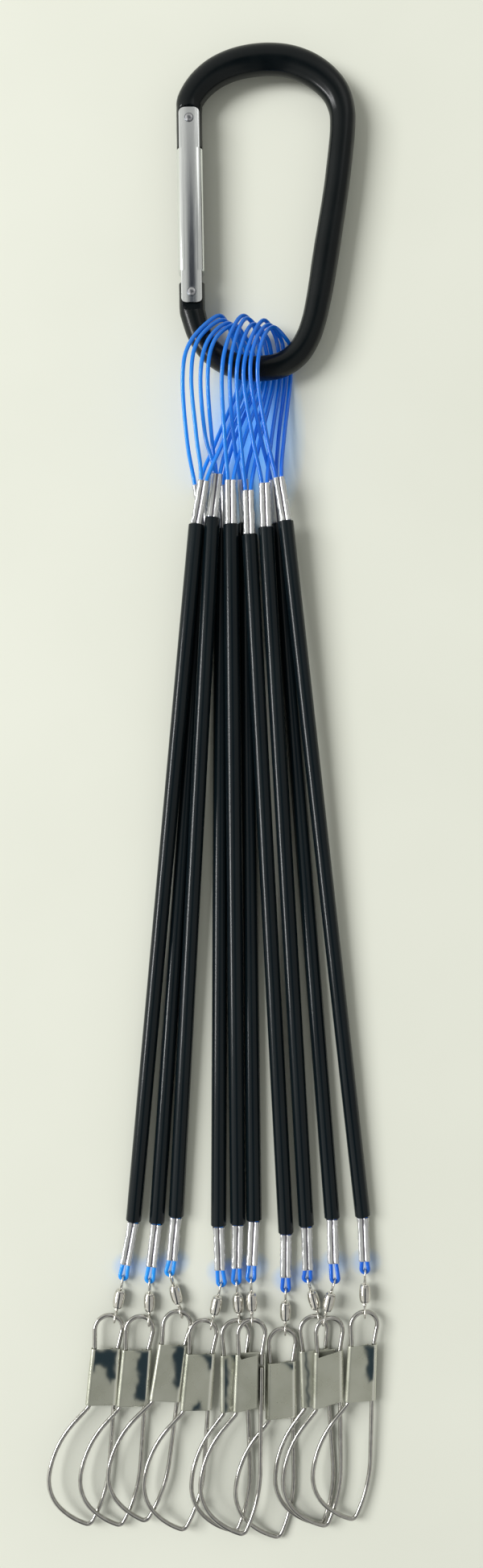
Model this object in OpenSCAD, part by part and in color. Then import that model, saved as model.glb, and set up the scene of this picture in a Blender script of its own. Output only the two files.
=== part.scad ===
// Fish stringer: ten leashes looped on one carabiner, each with a tube, a swivel
// and a wire snap. It lies flat on a table, carabiner at +Y, seen face at +Z.

/* [Part shown] */
// Sub-part to show; all shows the whole part

/* [Carabiner] */
// Carabiner, length over all
carabiner_length = 99.9; // [70:0.1:130]
// Carabiner, width over all
carabiner_width = 53.2; // [35:0.1:70]
// Carabiner bar, height from underside to top
bar_height = 7.4; // [5:0.1:10]
// Height of the middle of the bar above the table
bar_lay = 6.1; // [5:0.1:9]
// Left edge of the carabiner, from the middle of the whole part
carabiner_left = -11.085; // [-40:0.005:20]
// Lower edge of the carabiner, from the middle of the whole part
carabiner_foot = 122.966; // [80:0.001:160]
// Thickness of the flat tangs that reach between the gate's ears
tang_height = 5.2; // [3:0.1:7]
// Width of the tangs
tang_width = 7.6; // [5:0.1:9]
// Mouth of the notch that takes the catch pin
notch_width = 2.6; // [1.5:0.1:4]
// How far the nose tang reaches down over the catch pin
nose_reach = 7.9; // [5:0.1:11]
// Gap between moving metal parts
running_gap = 0.15; // [0.1:0.01:0.4]

/* [Gate] */
// Distance between the two gate pins, as a share of the carabiner's length
gate_pin_share = 0.51251; // [0.4:0.00001:0.6]
// Lean of the gate off the long axis, degrees
gate_lean = -0.9; // [-3:0.1:3]
// Pivot pin, from the left edge of the carabiner
pivot_across = 4.72; // [3:0.01:8]
// Pivot pin above the lower edge, as a share of the carabiner's length
pivot_along_share = 0.25325; // [0.15:0.00001:0.35]
// Corner radius of the gate channel
gate_corner = 2.0; // [1:0.1:3]
// Gate channel, width over its rounded sides
gate_width = 7.7; // [5:0.1:10]
// Gate channel, height over both plates
gate_height = 7.0; // [5:0.1:9]
// Sheet thickness of the gate
gate_sheet = 0.75; // [0.5:0.05:1.2]
// Width of the four ears
ear_width = 6.1; // [4:0.1:8]
// Ear length past a pin
ear_reach = 3.1; // [2:0.1:5]
// Where the full channel starts above the pivot pin
channel_start = 6.4; // [5:0.1:10]
// Where the full channel stops above the pivot pin, as a share of the same
channel_stop_share = 0.42543; // [0.3:0.00001:0.5]
// Diameter of the gate pins
pin_diameter = 2.0; // [1.2:0.1:3]
// Diameter of the pin heads
pin_head = 2.7; // [1.8:0.1:4]
// Height of a pin head over the plate
pin_head_height = 0.3; // [0.1:0.05:0.8]

/* [Line] */
// Diameter of the coated line
line_diameter = 1.2; // [0.8:0.05:2]
// Distance between the two strands held in a crimp
strand_pitch = 1.64; // [1.3:0.01:2.6]
// Reach of the small lower loop past its crimp
small_loop_reach = 4.6; // [2.5:0.1:6]
// Bend radius of the small lower loop, to the middle of the line
small_loop_radius = 1.05; // [0.9:0.01:1.6]

/* [Tubes] */
// Diameter of a tube
tube_diameter = 4.6; // [3:0.1:7]
// Bore of a tube
tube_bore = 3.4; // [2:0.1:5]
// Length of a tube
tube_length = 208.5; // [140:0.5:280]
// Height the tops of the upper row of tubes lie above the lower row
row_rise = 5.0; // [4.7:0.1:7]
// Width spanned by the ten tube feet
foot_span = 68.57; // [50:0.1:100]
// Left tube foot, from the middle of the whole part
foot_left = -23.985; // [-60:0.005:0]
// Upper end of the row of tubes, from the middle of the whole part
row_top = 77.566; // [40:0.001:120]
// Stagger of the tube feet
foot_stagger = 5.0; // [0:0.1:10]

/* [Crimps] */
// Length of a crimp sleeve
crimp_length = 12.4; // [8:0.1:18]
// Outer diameter of each barrel of a crimp
crimp_barrel = 1.76; // [1.3:0.01:2.6]
// Diameter of each barrel at the flared end
crimp_flare = 2.2; // [1.4:0.05:3.2]
// Length of the flare
flare_length = 0.9; // [0.4:0.1:2]
// Bore of each barrel of a crimp
crimp_bore = 1.3; // [0.9:0.01:2.2]
// Gap between a crimp and the end of its tube
crimp_gap = 0.5; // [0.2:0.1:1.5]
// Gap between a tube foot and its lower crimp
lower_gap = 0.8; // [0.2:0.1:2]

/* [Swivels] */
// Diameter of a swivel barrel
barrel_diameter = 3.4; // [2.4:0.1:5]
// Length of a swivel barrel
barrel_length = 5.4; // [4:0.1:8]
// Wire of the swivel eyes
eye_wire = 0.6; // [0.4:0.05:1]
// Radius of a swivel eye, to the middle of its wire
eye_radius = 1.5; // [1.1:0.05:2.5]
// Neck between an eye and the barrel
eye_neck = 1.1; // [0.4:0.1:2]
// Radius of the stopper inside the barrel
stopper_radius = 0.95; // [0.7:0.05:1.5]
// Depth of the stopper's far face inside the barrel
stopper_in = 1.3; // [0.8:0.05:2]
// Line in the upper eye, off the middle of the eye
line_seat = 0.5; // [0:0.05:0.6]
// Snap wire in the lower eye, off the middle of the eye
snap_seat = 0.25; // [0:0.05:0.5]

/* [Snaps] */
// Wire of the snaps
snap_wire = 1.3; // [0.8:0.05:2]
// Unit length that scales the bent shape of a snap
snap_unit_length = 1; // [0.7:0.01:1.4]
// Sheet thickness of the clasp
clasp_sheet = 0.35; // [0.2:0.01:0.6]
// Length of the clasp
clasp_length = 16.8; // [12:0.1:24]
// Clasp start, below the top of the snap loop
clasp_start = 9.9; // [7:0.1:14]
// Slant of the clasp's shorter plate over its width
clasp_slant = 1.5; // [0:0.1:3]
// Gap between the clasp and the wire it is folded on
clasp_gap = 0.06; // [0.02:0.01:0.2]
// Gap at the bend where the free arm starts
arm_gap = 0.15; // [0.1:0.01:0.4]

/* [Hidden] */

anodised_black = [0.06, 0.06, 0.07];
bright_metal = [0.8, 0.8, 0.82];
nickel = [0.72, 0.71, 0.68];
line_blue = [0.05, 0.4, 0.9];
tube_black = [0.05, 0.07, 0.08];

// Middle of the carabiner bar from nose tip to pivot end, across, along, and its width
bar_path_shares = [
    [0.0759, 0.6866, 0.0761], [0.0736, 0.7657, 0.0761],
    [0.0737, 0.8020, 0.0765], [0.0810, 0.8320, 0.0785], [0.1358, 0.8757, 0.0826],
    [0.2173, 0.9123, 0.0869],
    [0.3140, 0.9365, 0.0896], [0.4179, 0.9497, 0.0915], [0.5246, 0.9537, 0.0916],
    [0.6309, 0.9478, 0.0912], [0.7313, 0.9285, 0.0920], [0.8206, 0.8974, 0.0889],
    [0.8906, 0.8546, 0.0840], [0.9251, 0.8010, 0.0772], [0.9274, 0.7442, 0.0748],
    [0.9183, 0.6874, 0.0748], [0.9067, 0.6307, 0.0751], [0.8935, 0.5742, 0.0749],
    [0.8780, 0.5178, 0.0754], [0.8609, 0.4615, 0.0765], [0.8441, 0.4052, 0.0780],
    [0.8276, 0.3489, 0.0780], [0.8113, 0.2926, 0.0765], [0.7922, 0.2365, 0.0741],
    [0.7693, 0.1808, 0.0730], [0.7341, 0.1271, 0.0734], [0.6762, 0.0794, 0.0745],
    [0.5889, 0.0474, 0.0740], [0.4842, 0.0366, 0.0730], [0.3775, 0.0391, 0.0725],
    [0.2757, 0.0559, 0.0715], [0.1895, 0.0893, 0.0710], [0.1314, 0.1367, 0.0725],
    [0.0984, 0.1909, 0.0753], [0.0906, 0.2110, 0.0760],
    [0.0887, 0.2533, 0.0761], [0.0878, 0.2843, 0.0761]];
// Corner taken off the pivot tang, as shares of its width
tang_corner_shares = [[-0.15, 0.5], [-0.15, 0.41], [0.5, -0.1], [0.8, -0.1], [0.8, 0.5]];
// Round shoulder beside the pivot ears, and the notch below the catch pin, as shares
shoulder_share = 1.7;
notch_drop_share = 1.08;
bar_sides = 20;
bar_steps = 2;

// Leash by leash, left to right
tube_across_shares = [0, 0.1009, 0.1855, 0.3710, 0.4547, 0.5259, 0.6653, 0.7541, 0.8668, 1];
tube_along_shares = [0.72, 0.61, 1.0, 0.44, 0.55, 0.77, 0, 0.44, 0.89, 1.0];
tube_splay_shares = [-0.2766, -0.2084, -0.1607, -0.0138, 0.0292, 0.0371, 0.1591, 0.1771, 0.2375, 0.3388];
upper_row_shares = [1, 0, 1, 0, 1, 0, 1, 1, 0, 1];
upper_crimp_lean = [-10.5, 9.5, -6.3, 1.9, 0.5, 4, 2.1, 2.1, 5.6, 9.1];
upper_crimp_pitch = [-12.8, -3.4, 0.1, -3.7, -2.9, -2.7, -3, -2.9, -3.6, -3.5];
crimp_lean = [-10.4, -6.7, -5.3, 2, -1.1, -2.9, -0.4, 1.8, 1.3, 1.9];
crimp_pitch = [0.5, 0, 0, 0.8, 0, 4.6, 0.4, 0, 6.2, 3.4];
reach_shares = [0.95, 1, 0.95, 1, 1, 1, 0.9, 0.72, 1.15, 0.72];
swivel_lean = [-11.1, -0.9, 15.4, -13, 4.5, 1.6, -0.5, 16.5, -14.9, -0.4];
swivel_pitch = [0.4, -1.1, 0.4, 1.3, -2, 2.5, -1.8, -1.6, 2.2, 4.3];
snap_lean = [-3.9, -3.8, -7.4, -3.9, 1.8, -0.7, 0.7, 4, 0.8, -1.3];
snap_pitch = [-0.2, -0.4, 1, -0.1, 0.1, 1.9, -1, -1.2, -1.8, -1.8];
snap_roll = [12, 12, 10.4, 11.6, 11.8, 8.7, 11, 8.8, 12.1, 13.5];
hook_angle = [26.2, 42, 9.2, 37.6, 19.4, 1.6, 13.6, 26.7, -22, 1.7];
clasp_front_slant = [0, 0, 0, 0, 0, 0, 0, 0, 1, 0];
clasp_mirrored = [0, 0, 0, 0, 0, 1, 0, 0, 0, 0];

// Loops over the carabiner: eight points a leash, across, along and up
loop_point_shares = [
    [[0.0613, -0.1705, 0.1201], [0.0479, -0.0107, 0.1411], [0.0667, 0.0960, 0.1371],
     [0.1340, 0.1705, 0.0901], [0.1718, 0.1482, 0.0481], [0.1927, 0.0984, 0.0290],
     [0.2087, 0.0133, 0.0074], [0.1461, -0.1669, 0.0635]],
    [[0.0332, -0.1804, 0.0753], [0.0229, -0.0107, 0.1411], [0.0459, 0.0924, 0.1401],
     [0.1221, 0.1823, 0.0898], [0.1549, 0.1663, 0.0454], [0.1794, 0.0962, 0.0238],
     [0.1897, 0.0118, 0.0109], [0.1185, -0.1688, 0.0187]],
    [[0.0867, -0.1661, 0.0945], [0.0749, -0.0107, 0.1411], [0.0949, 0.0924, 0.1401],
     [0.1515, 0.1610, 0.0912], [0.1870, 0.1385, 0.0521], [0.2109, 0.0931, 0.0302],
     [0.2289, 0.0107, 0.0078], [0.1624, -0.1578, 0.0450]],
    [[0.1069, -0.1809, 0.0708], [0.0959, -0.0107, 0.1411], [0.1140, 0.0924, 0.1401],
     [0.1691, 0.1554, 0.0909], [0.2020, 0.1334, 0.0624], [0.2253, 0.0984, 0.0290],
     [0.2425, 0.0134, 0.0070], [0.1722, -0.1705, 0.0189]],
    [[0.1445, -0.1777, 0.1035], [0.1370, -0.0107, 0.1411], [0.1530, 0.0924, 0.1401],
     [0.1950, 0.1825, 0.0901], [0.2327, 0.1630, 0.0454], [0.2484, 0.0984, 0.0290],
     [0.2603, 0.0137, 0.0095], [0.2038, -0.1677, 0.0459]],
    [[0.1713, -0.1756, 0.0701], [0.1600, -0.0107, 0.1411], [0.1740, 0.0924, 0.1401],
     [0.2074, 0.1739, 0.0939], [0.2494, 0.1466, 0.0495], [0.2664, 0.1066, 0.0271],
     [0.2743, 0.0134, 0.0070], [0.2326, -0.1608, 0.0194]],
    [[0.1927, -0.1953, 0.1029], [0.1800, -0.0107, 0.1411], [0.1980, 0.0924, 0.1401],
     [0.2281, 0.1585, 0.0901], [0.2661, 0.1366, 0.0548], [0.2816, 0.0984, 0.0290],
     [0.2921, 0.0134, 0.0070], [0.2471, -0.1853, 0.0465]],
    [[0.2275, -0.1831, 0.1035], [0.2001, -0.0107, 0.1411], [0.2191, 0.0924, 0.1401],
     [0.2571, 0.1695, 0.0901], [0.2884, 0.1481, 0.0526], [0.3045, 0.0984, 0.0290],
     [0.3088, 0.0134, 0.0070], [0.2831, -0.1728, 0.0459]],
    [[0.2519, -0.1723, 0.0772], [0.2201, -0.0107, 0.1411], [0.2346, 0.0922, 0.1407],
     [0.2731, 0.1565, 0.0901], [0.3091, 0.1321, 0.0478], [0.3197, 0.0962, 0.0302],
     [0.3250, 0.0134, 0.0070], [0.3050, -0.1613, 0.0189]],
    [[0.2679, -0.1740, 0.1043], [0.2411, -0.0107, 0.1411], [0.2540, 0.0920, 0.1410],
     [0.2865, 0.1489, 0.0939], [0.3287, 0.1241, 0.0532], [0.3399, 0.0994, 0.0264],
     [0.3409, 0.0149, 0.0074], [0.3216, -0.1626, 0.0466]]];
loop_steps = 6;
small_loop_steps = 8;
line_sides = 8;

// Half outline of a swivel barrel, as shares of its radius and of half its length
barrel_outline_shares = [
    [0.25, -1], [0.65, -1], [0.86, -0.94], [1, -0.78], [1, 0.78], [0.86, 0.94],
    [0.65, 1], [0.25, 1], [0.25, 0.8], [0.735, 0.8], [0.735, -0.8], [0.25, -0.8]];

// Shape of a snap from the end of its short leg, as shares of snap_unit_length.
// A row [0, a] runs straight by a, a row [r, b] turns left on radius r by b degrees.
leg_end_share = [3.5, -13.0];
hook_centre_share = [0.4, -4.11];
hook_radius_share = 4.11;
last_bow_share = 21.72;
wire_shape_shares = [[0, 2.702], [0, 0, -9.75], [0, 5.582], [4.11, 193.05], [0, 5.415],
    [0, 0, -5.21], [0, 17.698], [0, 0, -39.5], [0, 5.748], [26.58, 36.39],
    [12.93, 50.45],
    [last_bow_share, 25.41 - arm_gap / snap_unit_length / last_bow_share * 180 / PI]];
joint_bead = 0.05;
arm_start_share = [-2.412, -62.393];
arm_heading = 250.84;
arm_bow_share = 1.6;
arm_cut = arm_gap / snap_unit_length / arm_bow_share * 180 / PI;
arm_shape_shares = [[arm_bow_share, 83.33 - arm_cut], [38.99, 25.79], [0, 30.3]];
clasp_left_share = -3.402;
clasp_right_share = 3.52;
clasp_open_share = 2.2;
clasp_taper = 1.91;
clasp_wall_share = 0.55;
sheet_lap = 0.03;

// Functions for places
foot_along = row_top - tube_length;
gate_pin_distance = carabiner_length * gate_pin_share;
pivot_along = carabiner_length * pivot_along_share;
channel_stop = carabiner_length * channel_stop_share;
function lean_dir(lean, pitch) =
    [sin(lean) * cos(pitch), -cos(lean) * cos(pitch), sin(pitch)];
function across_dir(lean) = [cos(lean), sin(lean), 0];
function tube_foot(k) = [foot_left + foot_span * tube_across_shares[k],
    foot_along + foot_stagger * tube_along_shares[k], tube_diameter / 2];
function tube_pitch(k) = -asin(row_rise * upper_row_shares[k] / tube_length);
function tube_lean(k) =
    asin(foot_span * tube_splay_shares[k] / tube_length / cos(tube_pitch(k)));
function tube_dir(k) = lean_dir(tube_lean(k), tube_pitch(k));
function tube_top(k) = tube_foot(k) - tube_length * tube_dir(k);
function upper_dir(k) = lean_dir(upper_crimp_lean[k], upper_crimp_pitch[k]);
function upper_crimp_foot(k) = tube_top(k) - crimp_gap * tube_dir(k);
function upper_crimp_head(k) = upper_crimp_foot(k) - crimp_length * upper_dir(k);
function lower_dir(k) = lean_dir(crimp_lean[k], crimp_pitch[k]);
function lower_crimp_head(k) = tube_foot(k) + lower_gap * lower_dir(k);
function lower_crimp_foot(k) = lower_crimp_head(k) + crimp_length * lower_dir(k);
function loop_end(k) =
    lower_crimp_foot(k) + small_loop_reach * reach_shares[k] * lower_dir(k);
function swivel_dir(k) = lean_dir(swivel_lean[k], swivel_pitch[k]);
eye_span = eye_radius + eye_wire / 2 + eye_neck;
function upper_eye(k) = loop_end(k) + line_seat * swivel_dir(k);
function barrel_head(k) = upper_eye(k) + eye_span * swivel_dir(k);
function barrel_foot(k) = barrel_head(k) + barrel_length * swivel_dir(k);
function lower_eye(k) = barrel_foot(k) + eye_span * swivel_dir(k);
function snap_hold(k) = lower_eye(k) - snap_seat * swivel_dir(k);

// Sweep of a round line through points, frames carried along
function unit(v) = v / norm(v);
function tangent(p, i) = unit(p[min(i + 1, len(p) - 1)] - p[max(i - 1, 0)]);
function turn_frame(n, t) = unit(n - (n * t) * t);
function frames(p, n, i = 0, done = []) = i == len(p) ? done
    : let (m = turn_frame(n, tangent(p, i))) frames(p, m, i + 1, concat(done, [m]));
function curve_point(a, b, c, d, t) = 0.5 * (2 * b + (c - a) * t
    + (2 * a - 5 * b + 4 * c - d) * t * t + (3 * b - a - 3 * c + d) * t * t * t);
function curve(p, steps, first, last) = [for (i = [first:last]) for (j = [0:steps - 1])
    curve_point(p[i - 1], p[i], p[i + 1], p[i + 2], j / steps)];

module sweep(p, start_side, half_wide, half_high, sides) {
    f = frames(p, start_side);
    ring = [for (i = [0:len(p) - 1]) let (t = tangent(p, i), n = f[i], b = cross(t, n))
        for (s = [0:sides - 1]) p[i] + half_wide[i] * cos(360 * s / sides) * n
            + half_high * sin(360 * s / sides) * b];
    m = len(p);
    side_faces = [for (i = [0:m - 2]) for (s = [0:sides - 1])
        let (a = i * sides + s, b = i * sides + (s + 1) % sides)
        each [[a, a + sides, b + sides], [a, b + sides, b]]];
    caps = [[for (s = [0:sides - 1]) s],
        [for (s = [sides - 1:-1:0]) (m - 1) * sides + s]];
    polyhedron(ring, concat(side_faces, caps), convexity = 10);
}

// Wire bent step by step: [0, a] runs straight, [r, b] turns left on radius r,
// [0, 0, b] turns on the spot. A small bead closes each joint.
module bent(steps, wide, i = 0) {
    if (i < len(steps)) {
        step = steps[i];
        back = joint_bead * wide;
        if (i > 0) sphere(d = wide * (1 + joint_bead));
        if (len(step) == 3) {
            rotate([0, 0, step[2]]) bent(steps, wide, i + 1);
        } else if (step[0] == 0) {
            rotate([-90, 0, 0]) translate([0, 0, i > 0 ? back : 0])
                cylinder(h = step[1] - (i > 0 ? 2 * back : back), d = wide);
            translate([0, step[1], 0]) bent(steps, wide, i + 1);
        } else {
            cut = back / step[0] * 180 / PI;
            first = i > 0 ? cut : 0;
            rest = i < len(steps) - 1 ? cut : 0;
            translate([-step[0], 0, 0]) {
                rotate([0, 0, first]) rotate_extrude(angle = step[1] - first - rest)
                    translate([step[0], 0]) circle(d = wide);
                rotate([0, 0, step[1]]) translate([step[0], 0, 0]) bent(steps, wide, i + 1);
            }
        }
    }
}

module along(place, lean, pitch, roll = 0) {
    translate(place) rotate([0, 0, lean]) rotate([-pitch, 0, 0])
        rotate([0, roll, 0]) children();
}

// Carabiner
bar_points = [for (q = bar_path_shares) [carabiner_left + carabiner_width * q[0],
    carabiner_foot + carabiner_length * q[1], bar_lay]];
bar_widths = [for (q = bar_path_shares) carabiner_length * q[2] / 2];
bar_last = len(bar_points) - 1;
bar_ends = concat([2 * bar_points[0] - bar_points[1]], bar_points,
    [2 * bar_points[bar_last] - bar_points[bar_last - 1]]);
bar_curve = concat(curve(bar_ends, bar_steps, 1, bar_last), [bar_points[bar_last]]);
bar_halves = concat([for (i = [0:bar_last - 1]) for (j = [0:bar_steps - 1])
    bar_widths[i] + (bar_widths[i + 1] - bar_widths[i]) * j / bar_steps],
    [bar_widths[bar_last]]);

module at_pivot() {
    translate([carabiner_left + pivot_across, carabiner_foot + pivot_along, bar_lay])
        rotate([0, 0, -gate_lean]) children();
}

module block(low, high) {
    translate(low) cube(high - low);
}

module carabiner_body() {
    flat = tang_height / 2;
    color(anodised_black) difference() {
        sweep(bar_curve, [1, 0, 0], bar_halves, bar_height / 2, bar_sides);
        at_pivot() for (side = [0, 1]) mirror([0, 0, side]) {
            block([-tang_width, gate_pin_distance - 2 * nose_reach, flat],
                [tang_width, gate_pin_distance + ear_reach + 2 * running_gap, bar_height]);
            translate([0, 0, flat]) cylinder(h = bar_height, r = ear_reach * shoulder_share);
        }
        at_pivot() translate([0, 0, -bar_height]) linear_extrude(2 * bar_height)
            polygon(tang_width * tang_corner_shares);
        at_pivot() cylinder(h = 2 * bar_height, d = pin_diameter + running_gap, center = true);
        at_pivot() translate([0, gate_pin_distance, 0])
            cylinder(h = 2 * bar_height, d = notch_width, center = true);
        at_pivot() block([0, gate_pin_distance - notch_width * (notch_drop_share + 0.5),
                -bar_height],
            [tang_width, gate_pin_distance + notch_width / 2, bar_height]);
    }
}

module rounded_bar(width, height, low, high, radius) {
    half = [width / 2, height / 2];
    rotate([-90, 0, 0]) translate([0, 0, low]) {
        block([-half[0], radius - half[1], 0], [half[0], half[1] - radius, high - low]);
        block([radius - half[0], -half[1], 0], [half[0] - radius, half[1], high - low]);
        for (x = [-1, 1]) for (y = [-1, 1])
            translate([x * (half[0] - radius), y * (half[1] - radius), 0])
                cylinder(h = high - low, r = radius);
    }
}

module ear_plate(low, high) {
    corner = ear_width / 4;
    half = ear_width / 2;
    for (side = [-1, 1]) translate([0, 0, side > 0 ? gate_height / 2 - gate_sheet
            : -gate_height / 2]) {
        block([-half, low + corner, 0], [half, high - corner, gate_sheet]);
        block([corner - half, low, 0], [half - corner, high, gate_sheet]);
        for (x = [-1, 1]) for (y = [low + corner, high - corner])
            translate([x * (half - corner), y, 0]) cylinder(h = gate_sheet, r = corner);
    }
}

module gate() {
    color(bright_metal) at_pivot() difference() {
        union() {
            difference() {
                rounded_bar(gate_width, gate_height, channel_start, channel_stop,
                    gate_corner);
                rounded_bar(gate_width - 2 * gate_sheet, gate_height - 2 * gate_sheet,
                    channel_start - gate_sheet, channel_stop + gate_sheet,
                    gate_corner - gate_sheet);
            }
            ear_plate(-ear_reach, gate_pin_distance + ear_reach);
        }
        cylinder(h = 2 * gate_height, d = pin_diameter + 2 * running_gap, center = true);
        translate([0, gate_pin_distance, 0])
            cylinder(h = 2 * gate_height, d = pin_diameter + running_gap / 2, center = true);
    }
}

module pin(along_gate) {
    at_pivot() translate([0, along_gate, 0]) {
        cylinder(h = gate_height + 2 * running_gap, d = pin_diameter, center = true);
        for (side = [0, 1]) mirror([0, 0, side])
            translate([0, 0, gate_height / 2 + running_gap / 3])
                cylinder(h = pin_head_height, d = pin_head);
    }
}

module gate_catch_pin() {
    color(bright_metal) pin(gate_pin_distance);
}

module gate_pivot_pin() {
    color(bright_metal) pin(0);
}

// Line, tube and crimps of leash k
function ease(t) = t * t * (3 - 2 * t);
function step_over(a, b, steps) = [for (j = [1:steps - 1]) let (t = j / steps)
    [a[0] + (b[0] - a[0]) * ease(t), a[1] + (b[1] - a[1]) * t,
     a[2] + (b[2] - a[2]) * ease(t)]];
function loop_points(k) = [for (q = loop_point_shares[k])
    [carabiner_left + carabiner_length * q[0], carabiner_foot + carabiner_length * q[1],
     carabiner_length * q[2]]];
function top_curve(k) = let (s = strand_pitch / 2 * across_dir(upper_crimp_lean[k]),
    low = upper_crimp_foot(k), high = upper_crimp_head(k),
    p = concat([low - s, high - s], loop_points(k), [high + s, low + s]))
    concat(curve(p, loop_steps, 1, len(p) - 3), [high + s]);
function small_loop(k) = let (r = small_loop_radius, d = lower_dir(k),
    x = across_dir(crimp_lean[k]), c = upper_eye(k) - (r + line_seat) * swivel_dir(k))
    [for (j = [0:small_loop_steps]) let (a = 180 * j / small_loop_steps)
        c + r * cos(a) * x + r * sin(a) * d];
function line_path(k) = let (
    su = strand_pitch / 2 * across_dir(upper_crimp_lean[k]),
    sl = strand_pitch / 2 * across_dir(crimp_lean[k]),
    bend = tube_diameter * 1.2,
    a = upper_crimp_foot(k) + su, b = tube_top(k) + bend * tube_dir(k),
    c = tube_foot(k) - bend * tube_dir(k), e = lower_crimp_head(k) + sl,
    out = lower_crimp_foot(k) + lower_gap / 4 * lower_dir(k))
    concat([upper_crimp_foot(k) - su + crimp_gap / 3 * tube_dir(k)], top_curve(k),
        [a], step_over(a, b, 4), [b, c], step_over(c, e, 4), [e],
        [out + sl], small_loop(k), [out - sl],
        [lower_crimp_head(k) - sl - lower_gap / 4 * lower_dir(k)]);

module line(k) {
    p = line_path(k);
    color(line_blue) sweep(p, across_dir(0), [for (q = p) line_diameter / 2],
        line_diameter / 2, line_sides);
}

module tubes() {
    color(tube_black) for (k = [0:9]) along(tube_foot(k), tube_lean(k), tube_pitch(k))
        rotate([-90, 0, 0]) difference() {
            cylinder(h = tube_length, d = tube_diameter);
            translate([0, 0, -tube_bore]) cylinder(h = tube_length + 2 * tube_bore,
                d = tube_bore);
        }
}

// A crimp from its foot up, flared at the end that meets the tube
module crimp(flare_up) {
    rotate([-90, 0, 0]) difference() {
        for (x = [-1, 1]) translate([x * strand_pitch / 2, 0, 0]) {
            cylinder(h = crimp_length, d = crimp_barrel);
            translate([0, 0, flare_up ? crimp_length - flare_length : 0])
                cylinder(h = flare_length, d1 = flare_up ? crimp_barrel : crimp_flare,
                    d2 = flare_up ? crimp_flare : crimp_barrel);
        }
        for (x = [-1, 1]) translate([x * strand_pitch / 2, 0, -crimp_bore])
            cylinder(h = crimp_length + 2 * crimp_bore, d = crimp_bore);
    }
}

module upper_crimps() {
    color(bright_metal) for (k = [0:9])
        along(upper_crimp_foot(k), upper_crimp_lean[k], upper_crimp_pitch[k])
            crimp(false);
}

module lower_crimps() {
    color(bright_metal) for (k = [0:9])
        along(lower_crimp_foot(k), crimp_lean[k], crimp_pitch[k]) crimp(true);
}

// Swivel eye: ring upright, neck and stopper toward +Y
module eye() {
    rotate([0, 90, 0]) rotate_extrude() translate([eye_radius, 0]) circle(d = eye_wire);
    translate([0, eye_radius, 0]) rotate([-90, 0, 0])
        cylinder(h = eye_wire / 2 + eye_neck + stopper_in, d = eye_wire);
    translate([0, eye_span + stopper_in - eye_wire, 0]) rotate([-90, 0, 0])
        cylinder(h = eye_wire, r = stopper_radius);
}

module upper_eyes() {
    color(nickel) for (k = [0:9]) along(upper_eye(k), swivel_lean[k], swivel_pitch[k])
        rotate([0, 0, 180]) eye();
}

module swivel_barrel(k) {
    half = barrel_length / 2;
    color(nickel) along(barrel_head(k), swivel_lean[k], swivel_pitch[k])
        translate([0, -half, 0]) rotate([90, 0, 0]) rotate_extrude()
            polygon([for (q = barrel_outline_shares)
                [barrel_diameter / 2 * q[0], half * q[1]]]);
}

// Snap k, its clasp and its free arm
module at_snap(k) {
    hold = snap_unit_length * [hook_centre_share[0] + hook_radius_share * sin(hook_angle[k]),
        hook_centre_share[1] + hook_radius_share * cos(hook_angle[k]), 0];
    along(snap_hold(k), snap_lean[k], snap_pitch[k], snap_roll[k])
        translate(-hold) children();
}

function scaled(steps) = [for (s = steps) len(s) == 3 ? s
    : s[0] == 0 ? [0, snap_unit_length * s[1]] : [snap_unit_length * s[0], s[1]]];

module snap(k) {
    color(nickel) {
        at_snap(k) translate(snap_unit_length * concat(leg_end_share, [0]))
            bent(scaled(wire_shape_shares), snap_wire);
        along(lower_eye(k), swivel_lean[k], swivel_pitch[k]) eye();
    }
}

module snap_arm(k) {
    bow = snap_unit_length * arm_bow_share;
    color(nickel) at_snap(k) translate(snap_unit_length * concat(arm_start_share, [0]))
        rotate([0, 0, arm_heading]) translate([-bow, 0, 0]) rotate([0, 0, arm_cut])
            translate([bow, 0, 0]) bent(scaled(arm_shape_shares), snap_wire);
}

// Curl of the clasp sheet round a wire, from the angle first, turning by sweep_angle
module curl(inner, length, first, sweep_angle) {
    rotate([90, 0, 0]) translate([0, 0, sheet_lap]) rotate([0, 0, first])
        rotate_extrude(angle = sweep_angle) translate([inner, 0])
            square([clasp_sheet, length - 2 * sheet_lap]);
}

module clasp(k) {
    inner = snap_wire / 2 + clasp_gap;
    outer = inner + clasp_sheet;
    front_slant = clasp_front_slant[k] == 1;
    left = snap_unit_length * clasp_left_share;
    right = snap_unit_length * clasp_right_share;
    edge = left - clasp_sheet / 4;
    head = -clasp_start;
    foot = head - clasp_length;
    lean = tan(clasp_taper);
    straight = [[edge, head], [right + clasp_sheet / 4, head],
        [right + clasp_sheet / 4, foot], [edge - clasp_length * lean, foot]];
    slant = [[edge - clasp_slant * lean, head - clasp_slant],
        [right + clasp_sheet / 4, head], [right + clasp_sheet / 4, foot + clasp_slant],
        [edge - clasp_length * lean, foot]];
    color(nickel) at_snap(k) mirror([0, 0, clasp_mirrored[k]]) {
        translate([0, 0, inner - sheet_lap / 2]) linear_extrude(clasp_sheet + sheet_lap)
            polygon(front_slant ? slant : straight);
        intersection() {
            translate([0, 0, -outer - sheet_lap / 2])
                linear_extrude(clasp_sheet + sheet_lap)
                    polygon(front_slant ? straight : slant);
            block([left - 2 * clasp_length, 2 * foot, -2 * outer],
                [snap_unit_length * clasp_open_share, 0, 2 * outer]);
        }
        translate([left, head, 0]) rotate([0, 0, -clasp_taper])
            curl(inner, clasp_length, 90, 180);
        translate([right, head, 0]) curl(inner, clasp_length, 0, 90);
        block([right + inner - sheet_lap / 2, foot, -snap_wire * clasp_wall_share],
            [right + outer + sheet_lap / 2, head, clasp_sheet / 4]);
    }
}

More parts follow.
